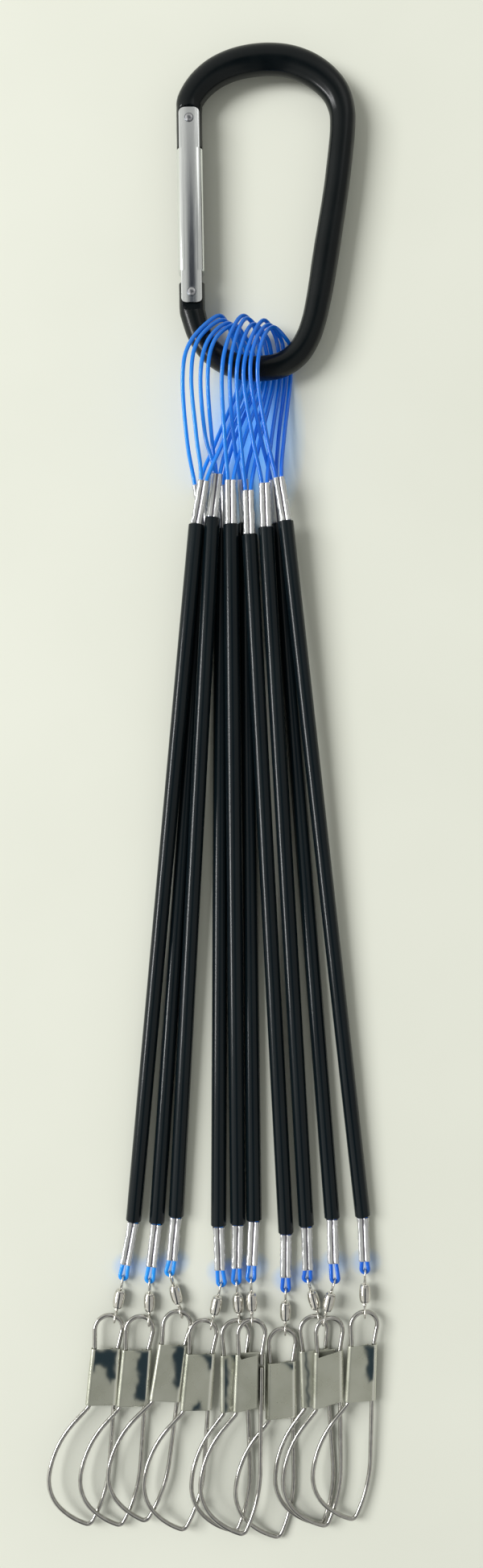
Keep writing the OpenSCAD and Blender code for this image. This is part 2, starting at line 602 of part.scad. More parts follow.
carabiner_body();
gate();
gate_catch_pin();
gate_pivot_pin();
line(0);  // line_01
line(1);  // line_02
line(2);  // line_03
line(3);  // line_04
line(4);  // line_05
line(5);  // line_06
line(6);  // line_07
line(7);  // line_08
line(8);  // line_09
line(9);  // line_10
tubes();
upper_crimps();
lower_crimps();
upper_eyes();
swivel_barrel(0);  // swivel_barrel_01
swivel_barrel(1);  // swivel_barrel_02
swivel_barrel(2);  // swivel_barrel_03
swivel_barrel(3);  // swivel_barrel_04
swivel_barrel(4);  // swivel_barrel_05
swivel_barrel(5);  // swivel_barrel_06
swivel_barrel(6);  // swivel_barrel_07
swivel_barrel(7);  // swivel_barrel_08
swivel_barrel(8);  // swivel_barrel_09
swivel_barrel(9);  // swivel_barrel_10
snap(0);  // snap_01
snap(1);  // snap_02
snap(2);  // snap_03
snap(3);  // snap_04
snap(4);  // snap_05
snap(5);  // snap_06
snap(6);  // snap_07
snap(7);  // snap_08
snap(8);  // snap_09
snap(9);  // snap_10
clasp(0);  // clasp_01
clasp(1);  // clasp_02
clasp(2);  // clasp_03
clasp(3);  // clasp_04
clasp(4);  // clasp_05
clasp(5);  // clasp_06
clasp(6);  // clasp_07
clasp(7);  // clasp_08
clasp(8);  // clasp_09
clasp(9);  // clasp_10
snap_arm(0);  // snap_arm_01
snap_arm(1);  // snap_arm_02
snap_arm(2);  // snap_arm_03
snap_arm(3);  // snap_arm_04
snap_arm(4);  // snap_arm_05
snap_arm(5);  // snap_arm_06
snap_arm(6);  // snap_arm_07
snap_arm(7);  // snap_arm_08
snap_arm(8);  // snap_arm_09
snap_arm(9);  // snap_arm_10
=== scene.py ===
"""Looks of the fish stringer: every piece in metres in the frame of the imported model."""
import bpy, bmesh, math
import numpy as np
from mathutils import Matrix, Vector


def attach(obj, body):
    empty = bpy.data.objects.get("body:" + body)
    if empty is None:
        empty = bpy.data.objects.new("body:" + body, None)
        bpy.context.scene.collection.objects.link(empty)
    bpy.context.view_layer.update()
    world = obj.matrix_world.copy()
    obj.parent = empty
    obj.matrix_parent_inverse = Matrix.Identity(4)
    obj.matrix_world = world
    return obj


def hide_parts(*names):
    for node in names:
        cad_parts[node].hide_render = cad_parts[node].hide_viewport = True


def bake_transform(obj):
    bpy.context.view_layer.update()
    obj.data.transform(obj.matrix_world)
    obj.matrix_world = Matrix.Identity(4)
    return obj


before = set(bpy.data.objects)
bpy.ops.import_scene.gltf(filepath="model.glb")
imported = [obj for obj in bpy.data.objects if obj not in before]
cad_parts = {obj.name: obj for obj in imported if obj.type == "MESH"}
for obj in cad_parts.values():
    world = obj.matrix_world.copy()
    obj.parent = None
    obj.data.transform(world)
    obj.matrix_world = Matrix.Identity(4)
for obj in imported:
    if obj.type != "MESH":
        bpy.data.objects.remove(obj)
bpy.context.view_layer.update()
MM = 0.001

# Places, repeated from the part's source: shares of a length, and angles in degrees
bar_path_shares = [
    [0.0759, 0.6866, 0.0761], [0.0736, 0.7657, 0.0761],
    [0.0737, 0.8020, 0.0765], [0.0810, 0.8320, 0.0785],
    [0.1358, 0.8757, 0.0826], [0.2173, 0.9123, 0.0869],
    [0.3140, 0.9365, 0.0896], [0.4179, 0.9497, 0.0915], [0.5246, 0.9537, 0.0916],
    [0.6309, 0.9478, 0.0912], [0.7313, 0.9285, 0.0920], [0.8206, 0.8974, 0.0889],
    [0.8906, 0.8546, 0.0840], [0.9251, 0.8010, 0.0772], [0.9274, 0.7442, 0.0748],
    [0.9183, 0.6874, 0.0748], [0.9067, 0.6307, 0.0751], [0.8935, 0.5742, 0.0749],
    [0.8780, 0.5178, 0.0754], [0.8609, 0.4615, 0.0765], [0.8441, 0.4052, 0.0780],
    [0.8276, 0.3489, 0.0780], [0.8113, 0.2926, 0.0765], [0.7922, 0.2365, 0.0741],
    [0.7693, 0.1808, 0.0730], [0.7341, 0.1271, 0.0734], [0.6762, 0.0794, 0.0745],
    [0.5889, 0.0474, 0.0740], [0.4842, 0.0366, 0.0730], [0.3775, 0.0391, 0.0725],
    [0.2757, 0.0559, 0.0715], [0.1895, 0.0893, 0.0710], [0.1314, 0.1367, 0.0725],
    [0.0984, 0.1909, 0.0753], [0.0906, 0.2110, 0.0760],
    [0.0887, 0.2533, 0.0761], [0.0878, 0.2843, 0.0761]]
tube_across_shares = [0, 0.1009, 0.1855, 0.3710, 0.4547, 0.5259, 0.6653, 0.7541, 0.8668, 1]
tube_along_shares = [0.72, 0.61, 1.0, 0.44, 0.55, 0.77, 0, 0.44, 0.89, 1.0]
tube_splay_shares = [-0.2766, -0.2084, -0.1607, -0.0138, 0.0292, 0.0371, 0.1591, 0.1771,
                     0.2375, 0.3388]
upper_row_shares = [1, 0, 1, 0, 1, 0, 1, 1, 0, 1]
upper_crimp_lean = [-10.5, 9.5, -6.3, 1.9, 0.5, 4, 2.1, 2.1, 5.6, 9.1]
upper_crimp_pitch = [-12.8, -3.4, 0.1, -3.7, -2.9, -2.7, -3, -2.9, -3.6, -3.5]
crimp_lean = [-10.4, -6.7, -5.3, 2, -1.1, -2.9, -0.4, 1.8, 1.3, 1.9]
crimp_pitch = [0.5, 0, 0, 0.8, 0, 4.6, 0.4, 0, 6.2, 3.4]
reach_shares = [0.95, 1, 0.95, 1, 1, 1, 0.9, 0.72, 1.15, 0.72]
swivel_lean = [-11.1, -0.9, 15.4, -13, 4.5, 1.6, -0.5, 16.5, -14.9, -0.4]
swivel_pitch = [0.4, -1.1, 0.4, 1.3, -2, 2.5, -1.8, -1.6, 2.2, 4.3]
snap_lean = [-3.9, -3.8, -7.4, -3.9, 1.8, -0.7, 0.7, 4, 0.8, -1.3]
snap_pitch = [-0.2, -0.4, 1, -0.1, 0.1, 1.9, -1, -1.2, -1.8, -1.8]
snap_roll = [12, 12, 10.4, 11.6, 11.8, 8.7, 11, 8.8, 12.1, 13.5]
hook_angle = [26.2, 42, 9.2, 37.6, 19.4, 1.6, 13.6, 26.7, -22, 1.7]
loop_point_shares = [
    [[0.0613, -0.1705, 0.1201], [0.0479, -0.0107, 0.1411], [0.0667, 0.0960, 0.1371],
     [0.1340, 0.1705, 0.0901], [0.1718, 0.1482, 0.0481], [0.1927, 0.0984, 0.0290],
     [0.2087, 0.0133, 0.0074], [0.1461, -0.1669, 0.0635]],
    [[0.0332, -0.1804, 0.0753], [0.0229, -0.0107, 0.1411], [0.0459, 0.0924, 0.1401],
     [0.1221, 0.1823, 0.0898], [0.1549, 0.1663, 0.0454], [0.1794, 0.0962, 0.0238],
     [0.1897, 0.0118, 0.0109], [0.1185, -0.1688, 0.0187]],
    [[0.0867, -0.1661, 0.0945], [0.0749, -0.0107, 0.1411], [0.0949, 0.0924, 0.1401],
     [0.1515, 0.1610, 0.0912], [0.1870, 0.1385, 0.0521], [0.2109, 0.0931, 0.0302],
     [0.2289, 0.0107, 0.0078], [0.1624, -0.1578, 0.0450]],
    [[0.1069, -0.1809, 0.0708], [0.0959, -0.0107, 0.1411], [0.1140, 0.0924, 0.1401],
     [0.1691, 0.1554, 0.0909], [0.2020, 0.1334, 0.0624], [0.2253, 0.0984, 0.0290],
     [0.2425, 0.0134, 0.0070], [0.1722, -0.1705, 0.0189]],
    [[0.1445, -0.1777, 0.1035], [0.1370, -0.0107, 0.1411], [0.1530, 0.0924, 0.1401],
     [0.1950, 0.1825, 0.0901], [0.2327, 0.1630, 0.0454], [0.2484, 0.0984, 0.0290],
     [0.2603, 0.0137, 0.0095], [0.2038, -0.1677, 0.0459]],
    [[0.1713, -0.1756, 0.0701], [0.1600, -0.0107, 0.1411], [0.1740, 0.0924, 0.1401],
     [0.2074, 0.1739, 0.0939], [0.2494, 0.1466, 0.0495], [0.2664, 0.1066, 0.0271],
     [0.2743, 0.0134, 0.0070], [0.2326, -0.1608, 0.0194]],
    [[0.1927, -0.1953, 0.1029], [0.1800, -0.0107, 0.1411], [0.1980, 0.0924, 0.1401],
     [0.2281, 0.1585, 0.0901], [0.2661, 0.1366, 0.0548], [0.2816, 0.0984, 0.0290],
     [0.2921, 0.0134, 0.0070], [0.2471, -0.1853, 0.0465]],
    [[0.2275, -0.1831, 0.1035], [0.2001, -0.0107, 0.1411], [0.2191, 0.0924, 0.1401],
     [0.2571, 0.1695, 0.0901], [0.2884, 0.1481, 0.0526], [0.3045, 0.0984, 0.0290],
     [0.3088, 0.0134, 0.0070], [0.2831, -0.1728, 0.0459]],
    [[0.2519, -0.1723, 0.0772], [0.2201, -0.0107, 0.1411], [0.2346, 0.0922, 0.1407],
     [0.2731, 0.1565, 0.0901], [0.3091, 0.1321, 0.0478], [0.3197, 0.0962, 0.0302],
     [0.3250, 0.0134, 0.0070], [0.3050, -0.1613, 0.0189]],
    [[0.2679, -0.1740, 0.1043], [0.2411, -0.0107, 0.1411], [0.2540, 0.0920, 0.1410],
     [0.2865, 0.1489, 0.0939], [0.3287, 0.1241, 0.0532], [0.3399, 0.0994, 0.0264],
     [0.3409, 0.0149, 0.0074], [0.3216, -0.1626, 0.0466]]]

# Lengths in millimetres, angles in degrees
CARA_LEN, CARA_WIDE, BAR_H, BAR_LAY = 99.9, 53.2, 7.4, 6.1
CARA_LEFT, CARA_FOOT = -11.085, 122.966
GATE_LEAN, PIVOT = 0.9, (CARA_LEFT + 4.72, CARA_FOOT + 25.29968, BAR_LAY)
PIN_GAP, EAR, TANG_H, GATE_H, RIVET_SEAT = 51.19975, 3.1, 5.2, 7.0, 1.3
LINE_D, STRAND, TUBE_D, TUBE_BORE, TUBE_L = 1.2, 1.64, 4.6, 3.4, 208.5
CRIMP_L, BARREL_L, BARREL_D, WIRE, EYE_WIRE = 12.4, 5.4, 3.4, 1.3, 0.6
# The row of tube feet, and how much the second row of tubes is raised at the top
FOOT_LEFT, FOOT_SPAN, FOOT_ALONG, FOOT_STEP, FOOT_LAY = -23.985, 68.57, -130.934, 5, 2.3
TOP_RAISE = 5.0
# Gaps and reaches along each leash
UPPER_GAP, LOWER_GAP, SMALL_LOOP, LOOP_R, EYE_SEAT, EYE_REACH = 0.5, 0.8, 4.6, 1.05, 0.5, 2.9
CORE_BEND, LINE_END = 5.52, 0.2
HOOK_R, HOOK_SIDE, HOOK_SEAT = 4.11, 0.4, 0.25
# The clasp on its snap: edges, length, sheet, gap to the wire, slant, taper, wall and opening
CLASP_LEFT, CLASP_RIGHT, CLASP_HEAD, CLASP_L = -3.402, 3.52, -9.9, 16.8
SHEET, CLASP_INNER, CLASP_SLANT, CLASP_TAPER = 0.35, 0.71, 1.5, 1.91
CLASP_WALL, CLASP_OPEN = 0.68, 2.2
TURNING = (1, 2, 4, 10)

def V(*numbers):
    return np.array(numbers, float)
def rot(axis, deg):
    a = math.radians(deg)
    c, s = math.cos(a), math.sin(a)
    return {"x": np.array([[1, 0, 0], [0, c, -s], [0, s, c]]),
            "y": np.array([[c, 0, s], [0, 1, 0], [-s, 0, c]]),
            "z": np.array([[c, -s, 0], [s, c, 0], [0, 0, 1]])}[axis]
def unit(v):
    return v / np.linalg.norm(v)
def lean_dir(lean, pitch):
    l, p = math.radians(lean), math.radians(pitch)
    return V(math.sin(l) * math.cos(p), -math.cos(l) * math.cos(p), math.sin(p))
def across(lean):
    return V(math.cos(math.radians(lean)), math.sin(math.radians(lean)), 0)
def turned(lean, pitch, roll=0):
    return rot("z", lean) @ rot("x", -pitch) @ rot("y", roll)
def arc(x, y, r, start, stop, n):
    """Points of an arc in a plane, from start to stop in degrees."""
    return [(x + r * math.cos(math.radians(a)), y + r * math.sin(math.radians(a)))
            for a in np.linspace(start, stop, n)]

# Where the bits of leash k are and which way they point, k from 0
def tube_foot(k):
    return V(FOOT_LEFT + FOOT_SPAN * tube_across_shares[k],
             FOOT_ALONG + FOOT_STEP * tube_along_shares[k], FOOT_LAY)
def tube_pitch(k):
    return -math.degrees(math.asin(TOP_RAISE * upper_row_shares[k] / TUBE_L))
def tube_lean(k):
    level = math.cos(math.radians(tube_pitch(k)))
    return math.degrees(math.asin(FOOT_SPAN * tube_splay_shares[k] / TUBE_L / level))
def tube_dir(k):
    return lean_dir(tube_lean(k), tube_pitch(k))
def tube_top(k):
    return tube_foot(k) - TUBE_L * tube_dir(k)
def up_dir(k):
    return lean_dir(upper_crimp_lean[k], upper_crimp_pitch[k])
def up_foot(k):
    return tube_top(k) - UPPER_GAP * tube_dir(k)
def up_head(k):
    return up_foot(k) - CRIMP_L * up_dir(k)
def low_dir(k):
    return lean_dir(crimp_lean[k], crimp_pitch[k])
def low_head(k):
    return tube_foot(k) + LOWER_GAP * low_dir(k)
def low_foot(k):
    return low_head(k) + CRIMP_L * low_dir(k)
def loop_end(k):
    return low_foot(k) + SMALL_LOOP * reach_shares[k] * low_dir(k)
def swivel_dir(k):
    return lean_dir(swivel_lean[k], swivel_pitch[k])
def upper_eye(k):
    return loop_end(k) + EYE_SEAT * swivel_dir(k)
def barrel_head(k):
    return upper_eye(k) + EYE_REACH * swivel_dir(k)
def barrel_foot(k):
    return barrel_head(k) + BARREL_L * swivel_dir(k)
def lower_eye(k):
    return barrel_foot(k) + EYE_REACH * swivel_dir(k)
def snap_frame(k):
    """Turning and origin of snap k, which hangs with its hook in the lower eye."""
    m = turned(snap_lean[k], snap_pitch[k], snap_roll[k])
    a = math.radians(hook_angle[k])
    hold = V(HOOK_SIDE + HOOK_R * math.sin(a), -HOOK_R + HOOK_R * math.cos(a), 0)
    return m, lower_eye(k) - HOOK_SEAT * swivel_dir(k) - m @ hold
def gate_frame(p):
    return np.asarray(p, float) @ rot("z", GATE_LEAN).T + V(*PIVOT)
def body_of(number):
    return "snap_%02d" % number if number in TURNING else "leashes"

# Mesh helpers
def catmull(p, n):
    """A smooth curve through the points, n steps from each to the next."""
    p = np.asarray(p, float)
    q = np.vstack([2 * p[0] - p[1], p, 2 * p[-1] - p[-2]])
    out = []
    for i in range(1, len(q) - 2):
        a, b, c, d = q[i - 1:i + 3]
        for t in np.arange(n) / n:
            out.append(0.5 * (2 * b + (c - a) * t + (2 * a - 5 * b + 4 * c - d) * t * t
                              + (3 * b - a - 3 * c + d) * t ** 3))
    out.append(q[-2])
    return np.array(out)
def frames_of(p, side):
    """Two directions square to the path at each of its points, without twist."""
    t = np.gradient(p, axis=0)
    t /= np.linalg.norm(t, axis=1)[:, None]
    n = [unit(side - (side @ t[0]) * t[0])]
    for i in range(1, len(p)):
        n.append(unit(n[-1] - (n[-1] @ t[i]) * t[i]))
    n = np.array(n)
    return n, np.cross(t, n)
def new_object(name, verts, faces, body=None, mats=(), sharp=40, attrs=None):
    me = bpy.data.meshes.new(name)
    me.from_pydata((np.asarray(verts) * MM).tolist(), [], faces)
    me.validate()
    me.update()
    for key, vals in (attrs or {}).items():
        at = me.attributes.new(key, "FLOAT", "POINT")
        at.data.foreach_set("value", np.asarray(vals, np.float32))
    me.polygons.foreach_set("use_smooth", [True] * len(me.polygons))
    if sharp:
        me.set_sharp_from_angle(angle=math.radians(sharp))
    ob = bpy.data.objects.new(name, me)
    bpy.context.scene.collection.objects.link(ob)
    for m in mats:
        me.materials.append(m)
    if body:
        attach(ob, body)
    return ob
def rings_to_faces(nr, ns, caps=True, closed=True):
    """Faces of a skin over nr rings of ns points each."""
    f = []
    for i in range(nr - 1):
        for s in range(ns if closed else ns - 1):
            a, b = i * ns + s, i * ns + (s + 1) % ns
            f.append((a, a + ns, b + ns, b))
    if caps:
        f.append(tuple(range(ns)))
        f.append(tuple((nr - 1) * ns + s for s in reversed(range(ns))))
    return f
class Batch:
    """Several alike bits gathered in one mesh."""
    def __init__(self):
        self.v, self.f, self.a = [], [], []
    def add(self, v, f, a=None):
        n = sum(len(x) for x in self.v)
        self.v.append(np.asarray(v, float))
        self.f += [tuple(i + n for i in q) for q in f]
        self.a.append(np.zeros(len(v)) if a is None else np.asarray(a, float))
    def make(self, name, body, mats, sharp):
        return new_object(name, np.vstack(self.v), self.f, body, mats, sharp,
                          {"shade": np.concatenate(self.a)})
def sweep(p, r, sides, side=V(1, 0, 0), round_ends=0.0):
    """A round wire along the path; round_ends is how far its ends bulge, in radii."""
    p = np.asarray(p, float)
    r = np.broadcast_to(np.asarray(r, float), len(p)).copy()
    if round_ends:
        t0, t1, q = unit(p[0] - p[1]), unit(p[-1] - p[-2]), round_ends
        p = np.vstack([p[0] + t0 * r[0] * q, p[0] + t0 * r[0] * q * .7, p,
                       p[-1] + t1 * r[-1] * q * .7, p[-1] + t1 * r[-1] * q])
        r = np.concatenate([[r[0] * .45, r[0] * .85], r, [r[-1] * .85, r[-1] * .45]])
    n, b = frames_of(p, side)
    th = 2 * np.pi * np.arange(sides) / sides
    ring = p[:, None] + r[:, None, None] * (np.cos(th)[None, :, None] * n[:, None]
                                            + np.sin(th)[None, :, None] * b[:, None])
    return ring.reshape(-1, 3), rings_to_faces(len(p), sides)
def revolve(profile, sides=40):
    """An outline of radius and height along y, turned round the y axis."""
    th = 2 * np.pi * np.arange(sides) / sides
    v = [[r * math.cos(t), y, r * math.sin(t)] for r, y in profile for t in th]
    return np.array(v), rings_to_faces(len(profile), sides)
def apply_modifier(ob, kind, **settings):
    md = ob.modifiers.new(kind.lower(), kind)
    for key, value in settings.items():
        setattr(md, key, value)
    bpy.context.view_layer.objects.active = ob
    bpy.ops.object.modifier_apply(modifier=md.name)
def bevel(ob, width, segments, from_deg):
    apply_modifier(ob, "BEVEL", width=width, segments=segments, limit_method="ANGLE",
                   angle_limit=math.radians(from_deg))
def face_outward(ob):
    bm = bmesh.new()
    bm.from_mesh(ob.data)
    bmesh.ops.recalc_face_normals(bm, faces=bm.faces)
    bm.to_mesh(ob.data)
    bm.free()

# Material helpers
def shader(name, color, rough, metal=0.0, coat=0.0, spec=0.5, coat_rough=0.1):
    m = bpy.data.materials.new(name)
    m.use_nodes = True
    b = m.node_tree.nodes["Principled BSDF"]
    b.inputs["Base Color"].default_value = (*color, 1)
    for key, value in (("Roughness", rough), ("Metallic", metal), ("Coat Weight", coat),
                       ("Coat Roughness", coat_rough), ("Specular IOR Level", spec)):
        b.inputs[key].default_value = value
    return m, m.node_tree, b
def node(t, kind, **kw):
    n = t.nodes.new(kind)
    for k, v in kw.items():
        if k in n.inputs:
            n.inputs[k].default_value = v
        else:
            setattr(n, k, v)
    return n
def object_place(t):
    return node(t, "ShaderNodeTexCoord").outputs["Object"]
def noise(t, scale, detail=3, rough=0.5, stretch=(1, 1, 1), seed=0.0):
    mp = node(t, "ShaderNodeMapping", Scale=stretch, Location=(seed, seed, seed))
    t.links.new(object_place(t), mp.inputs["Vector"])
    n = node(t, "ShaderNodeTexNoise", Scale=scale, Detail=detail, Roughness=rough)
    t.links.new(mp.outputs["Vector"], n.inputs["Vector"])
    return n.outputs["Fac"]
def rgba(c):
    return (c, c, c, 1) if np.isscalar(c) else (*c, 1)
def ramp(t, src, stops):
    r = node(t, "ShaderNodeValToRGB")
    e = r.color_ramp.elements
    while len(e) > 1:
        e.remove(e[-1])
    e[0].position, e[0].color = stops[0][0], rgba(stops[0][1])
    for pos, c in stops[1:]:
        e.new(pos).color = rgba(c)
    t.links.new(src, r.inputs["Fac"])
    return r.outputs["Color"]
def bump(t, b, src, strength, dist):
    n = node(t, "ShaderNodeBump", Strength=strength, Distance=dist)
    t.links.new(src, n.inputs["Height"])
    t.links.new(n.outputs["Normal"], b.inputs["Normal"])
def mix(t, fac, a, b):
    """Colour a where fac is 0 and b where it is 1; each is a socket or a value."""
    n = node(t, "ShaderNodeMix", data_type="RGBA")
    # A colour mix has its factor and its two colours at these places
    for place, v in ((0, fac), (6, a), (7, b)):
        if hasattr(v, "links"):
            t.links.new(v, n.inputs[place])
        else:
            n.inputs[place].default_value = v if np.isscalar(v) else (*v, 1)
    return n.outputs[2]
def map_range(t, src, low, high, to_low=0.0, to_high=1.0):
    n = node(t, "ShaderNodeMapRange")
    for key, value in (("From Min", low), ("From Max", high),
                       ("To Min", to_low), ("To Max", to_high)):
        n.inputs[key].default_value = value
    t.links.new(src, n.inputs["Value"])
    return n.outputs[0]
def attribute(t, name):
    return node(t, "ShaderNodeAttribute", attribute_name=name).outputs["Fac"]

# Materials
def mat_anodised():
    m, t, b = shader("anodised_black", (0.003, 0.005, 0.006), 0.23, spec=0.25)
    big, fine = noise(t, 90, 4, 0.6), noise(t, 2600, 3, 0.6, seed=3)
    base = ramp(t, big, [(0.3, (0.0012, 0.0030, 0.0036)), (0.55, (0.0022, 0.0042, 0.0050)),
                         (0.8, (0.0045, 0.0055, 0.0060))])
    t.links.new(base, b.inputs["Base Color"])
    t.links.new(ramp(t, big, [(0.3, 0.20), (0.7, 0.30)]), b.inputs["Roughness"])
    bump(t, b, fine, 0.12, 0.00004)
    return m
def mat_gate():
    m, t, b = shader("brushed_gate", (0.74, 0.75, 0.76), 0.26, 1.0)
    n = noise(t, 900, 4, 0.6, stretch=(4, 0.15, 4))
    base = ramp(t, n, [(0.3, (0.76, 0.78, 0.78)), (0.7, (0.85, 0.87, 0.86))])
    # Painted reflection: the shade attribute darkens a stripe down the face plate
    shaded = mix(t, attribute(t, "shade"), base, (0.10, 0.11, 0.15))
    t.links.new(shaded, b.inputs["Base Color"])
    t.links.new(ramp(t, n, [(0.3, 0.13), (0.7, 0.20)]), b.inputs["Roughness"])
    bump(t, b, n, 0.05, 0.00003)
    return m
def mat_nickel(name, lo, hi, rough):
    m, t, b = shader(name, hi, rough, 1.0)
    n = noise(t, 500, 4, 0.55)
    # The shade attribute paints shade and dark reflection into the metal: rivet heads and barrel
    # shoulders
    shaded = mix(t, attribute(t, "shade"), ramp(t, n, [(0.3, lo), (0.7, hi)]),
                 (0.035, 0.05, 0.065))
    t.links.new(shaded, b.inputs["Base Color"])
    t.links.new(ramp(t, n, [(0.3, rough * 0.8), (0.75, rough * 1.5)]), b.inputs["Roughness"])
    bump(t, b, n, 0.08, 0.00005)
    return m
def mat_clasp():
    m, t, b = shader("clasp_sheet", (0.6, 0.6, 0.54), 0.2, 0.6)
    n, wave = noise(t, 150, 3, 0.5), noise(t, 130, 2, 0.5, seed=7)
    base = ramp(t, n, [(0.28, (0.40, 0.41, 0.33)), (0.5, (0.45, 0.46, 0.38)),
                       (0.75, (0.51, 0.52, 0.44))])
    # pale paints a highlight along the right fold, with a slight wavy tone; shade paints the
    # dark reflections
    base = mix(t, attribute(t, "pale"), base, (0.90, 0.90, 0.80))
    shaded = mix(t, attribute(t, "shade"), base, (0.012, 0.035, 0.05))
    t.links.new(shaded, b.inputs["Base Color"])
    t.links.new(ramp(t, n, [(0.3, 0.22), (0.75, 0.38)]), b.inputs["Roughness"])
    bump(t, b, wave, 0.30, 0.0004)
    return m
def mat_crimp():
    m, t, b = shader("crimp_alloy", (0.9, 0.9, 0.92), 0.18, 0.6)
    n = noise(t, 420, 4, 0.6, stretch=(1, 0.35, 1))
    base = ramp(t, n, [(0.3, (0.60, 0.61, 0.61)), (0.6, (0.78, 0.79, 0.78))])
    # The shade attribute paints shade into the valley, along the outer edges and inside the
    # hollow ends
    shaded = mix(t, attribute(t, "shade"), base, (0.03, 0.02, 0.05))
    t.links.new(shaded, b.inputs["Base Color"])
    t.links.new(ramp(t, n, [(0.3, 0.14), (0.75, 0.32)]), b.inputs["Roughness"])
    bump(t, b, n, 0.25, 0.0002)
    return m
def mat_line():
    """Blue coat with painted shade, darker to the right and in the arches, and a slight painted
    glow of its own that stands in for light through the translucent coat.
    """
    m, t, b = shader("line_blue", (0.01, 0.17, 0.80), 0.22, 0.0, 0.35, 0.4, 0.06)
    place = node(t, "ShaderNodeSeparateXYZ")
    t.links.new(object_place(t), place.inputs[0])
    # Painted shade: darker towards the right and, by height along Y, in the arches
    right = map_range(t, place.outputs["X"], -0.014, 0.02)
    mid = mix(t, right, (0.014, 0.34, 0.96), (0.004, 0.15, 0.72))
    deep = mix(t, right, (0.006, 0.21, 0.76), (0.002, 0.055, 0.44))
    arch = map_range(t, place.outputs["Y"], 0.118, 0.136, 0.0, 0.75)
    col = mix(t, arch, mix(t, 0.35, mid, deep), (0.004, 0.13, 0.56))
    t.links.new(col, b.inputs["Base Color"])
    # Painted glow: the coat gives out its own colour as light
    t.links.new(col, b.inputs["Emission Color"])
    b.inputs["Emission Strength"].default_value = 0.16
    n = noise(t, 700, 3, 0.5)
    t.links.new(ramp(t, n, [(0.3, 0.14), (0.7, 0.24)]), b.inputs["Roughness"])
    bump(t, b, n, 0.06, 0.00005)
    return m
def mat_tube():
    m, t, b = shader("tube_black", (0.006, 0.010, 0.013), 0.20, spec=0.25)
    n, fine = noise(t, 240, 4, 0.6, stretch=(1, 0.12, 1)), noise(t, 3000, 2, 0.5, seed=5)
    base = ramp(t, n, [(0.3, (0.0025, 0.0060, 0.0085)), (0.7, (0.0045, 0.0090, 0.0115))])
    t.links.new(base, b.inputs["Base Color"])
    t.links.new(ramp(t, n, [(0.3, 0.17), (0.7, 0.23)]), b.inputs["Roughness"])
    bump(t, b, fine, 0.10, 0.00003)
    return m
M_BODY, M_GATE = mat_anodised(), mat_gate()
M_WIRE = mat_nickel("nickel", (0.42, 0.41, 0.385), (0.55, 0.54, 0.51), 0.11)
M_CLASP, M_CRIMP, M_LINE, M_TUBE = mat_clasp(), mat_crimp(), mat_line(), mat_tube()
M_PIN = mat_nickel("rivet", (0.45, 0.45, 0.47), (0.62, 0.62, 0.64), 0.3)
M_SWIVEL = mat_nickel("swivel", (0.60, 0.58, 0.53), (0.80, 0.78, 0.73), 0.10)

# Carabiner body: swept bar with flat tangs where the gate's ears reach over it
def prism(outline, lo=-8, hi=8):
    n = len(outline)
    ends = [tuple(range(n)), tuple(range(2 * n - 1, n - 1, -1))]
    return ([(x, y, lo) for x, y in outline] + [(x, y, hi) for x, y in outline],
            rings_to_faces(2, n, caps=False) + ends)
def carabiner():
    steps, sides = 8, 56
    squareness, crease_deep, crease_at, crease_wide, crease_share = 0.94, 0.055, 0.80, 0.10, 0.55
    path = [(CARA_LEFT + CARA_WIDE * a, CARA_FOOT + CARA_LEN * b, BAR_LAY)
            for a, b, _ in bar_path_shares]
    p = catmull(path, steps)
    w = np.interp(np.arange(len(p)) / steps, np.arange(len(path)),
                  [c * CARA_LEN / 2 for _, _, c in bar_path_shares])
    nr, bn = frames_of(p, V(1, 0, 0))
    th = 2 * np.pi * np.arange(sides) / sides
    c, s = np.cos(th), np.sin(th)
    x = np.sign(c) * np.abs(c) ** squareness
    z = np.sign(s) * np.abs(s) ** squareness
    crease = crease_deep * np.exp(-((np.abs(z) - crease_at) / crease_wide) ** 2)
    mid, v = p.mean(0), []
    for i in range(len(p)):
        inward = np.sign((mid - p[i]) @ nr[i])
        r = 1 - crease * (c * inward > 0) * crease_share
        v.append(p[i] + (w[i] * x * r)[:, None] * nr[i] + (BAR_H / 2 * z * r)[:, None] * bn[i])
    # The two tangs are flat: one at the nose, one round the pivot
    local = (np.array(v) - V(*PIVOT)) @ rot("z", GATE_LEAN)
    y, z, row = local[..., 1], local[..., 2], np.arange(len(p))[:, None]
    nose = (row < len(p) * 0.2) & (y < PIN_GAP + EAR + 0.3)
    foot = (row > len(p) * 0.8) & (np.hypot(local[..., 0], y) < EAR * 1.7)
    flat = TANG_H / 2
    local[..., 2] = np.where((nose | foot) & (np.abs(z) > flat), np.sign(z) * flat, z)
    v = gate_frame(local)
    ob = new_object("carabiner_body_shape", v.reshape(-1, 3), rings_to_faces(len(p), sides),
                    None, [M_BODY], 35)
    step = PIN_GAP - 4.1
    notch = arc(0, PIN_GAP, RIVET_SEAT, 90, 180, 7) + [
        (-RIVET_SEAT, PIN_GAP - 2.8), (-0.9, PIN_GAP - 3.8), (-0.3, step),
        (8, step), (8, PIN_GAP + RIVET_SEAT)]
    corner = [(-1.1, 3.8), (-1.1, 3.12), (3.8, -0.76), (6, -0.76), (6, 3.8)]
    for outline in (notch, corner):
        verts, faces = prism(outline)
        cut = new_object("cut", gate_frame(verts), faces, None, [M_BODY], 0)
        apply_modifier(ob, "BOOLEAN", operation="DIFFERENCE", object=cut, solver="EXACT")
        bpy.data.objects.remove(cut)
    bevel(ob, 0.00022, 2, 50)
    ob.data.set_sharp_from_angle(angle=math.radians(40))
    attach(ob, "carabiner")
    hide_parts("carabiner_body")
carabiner()

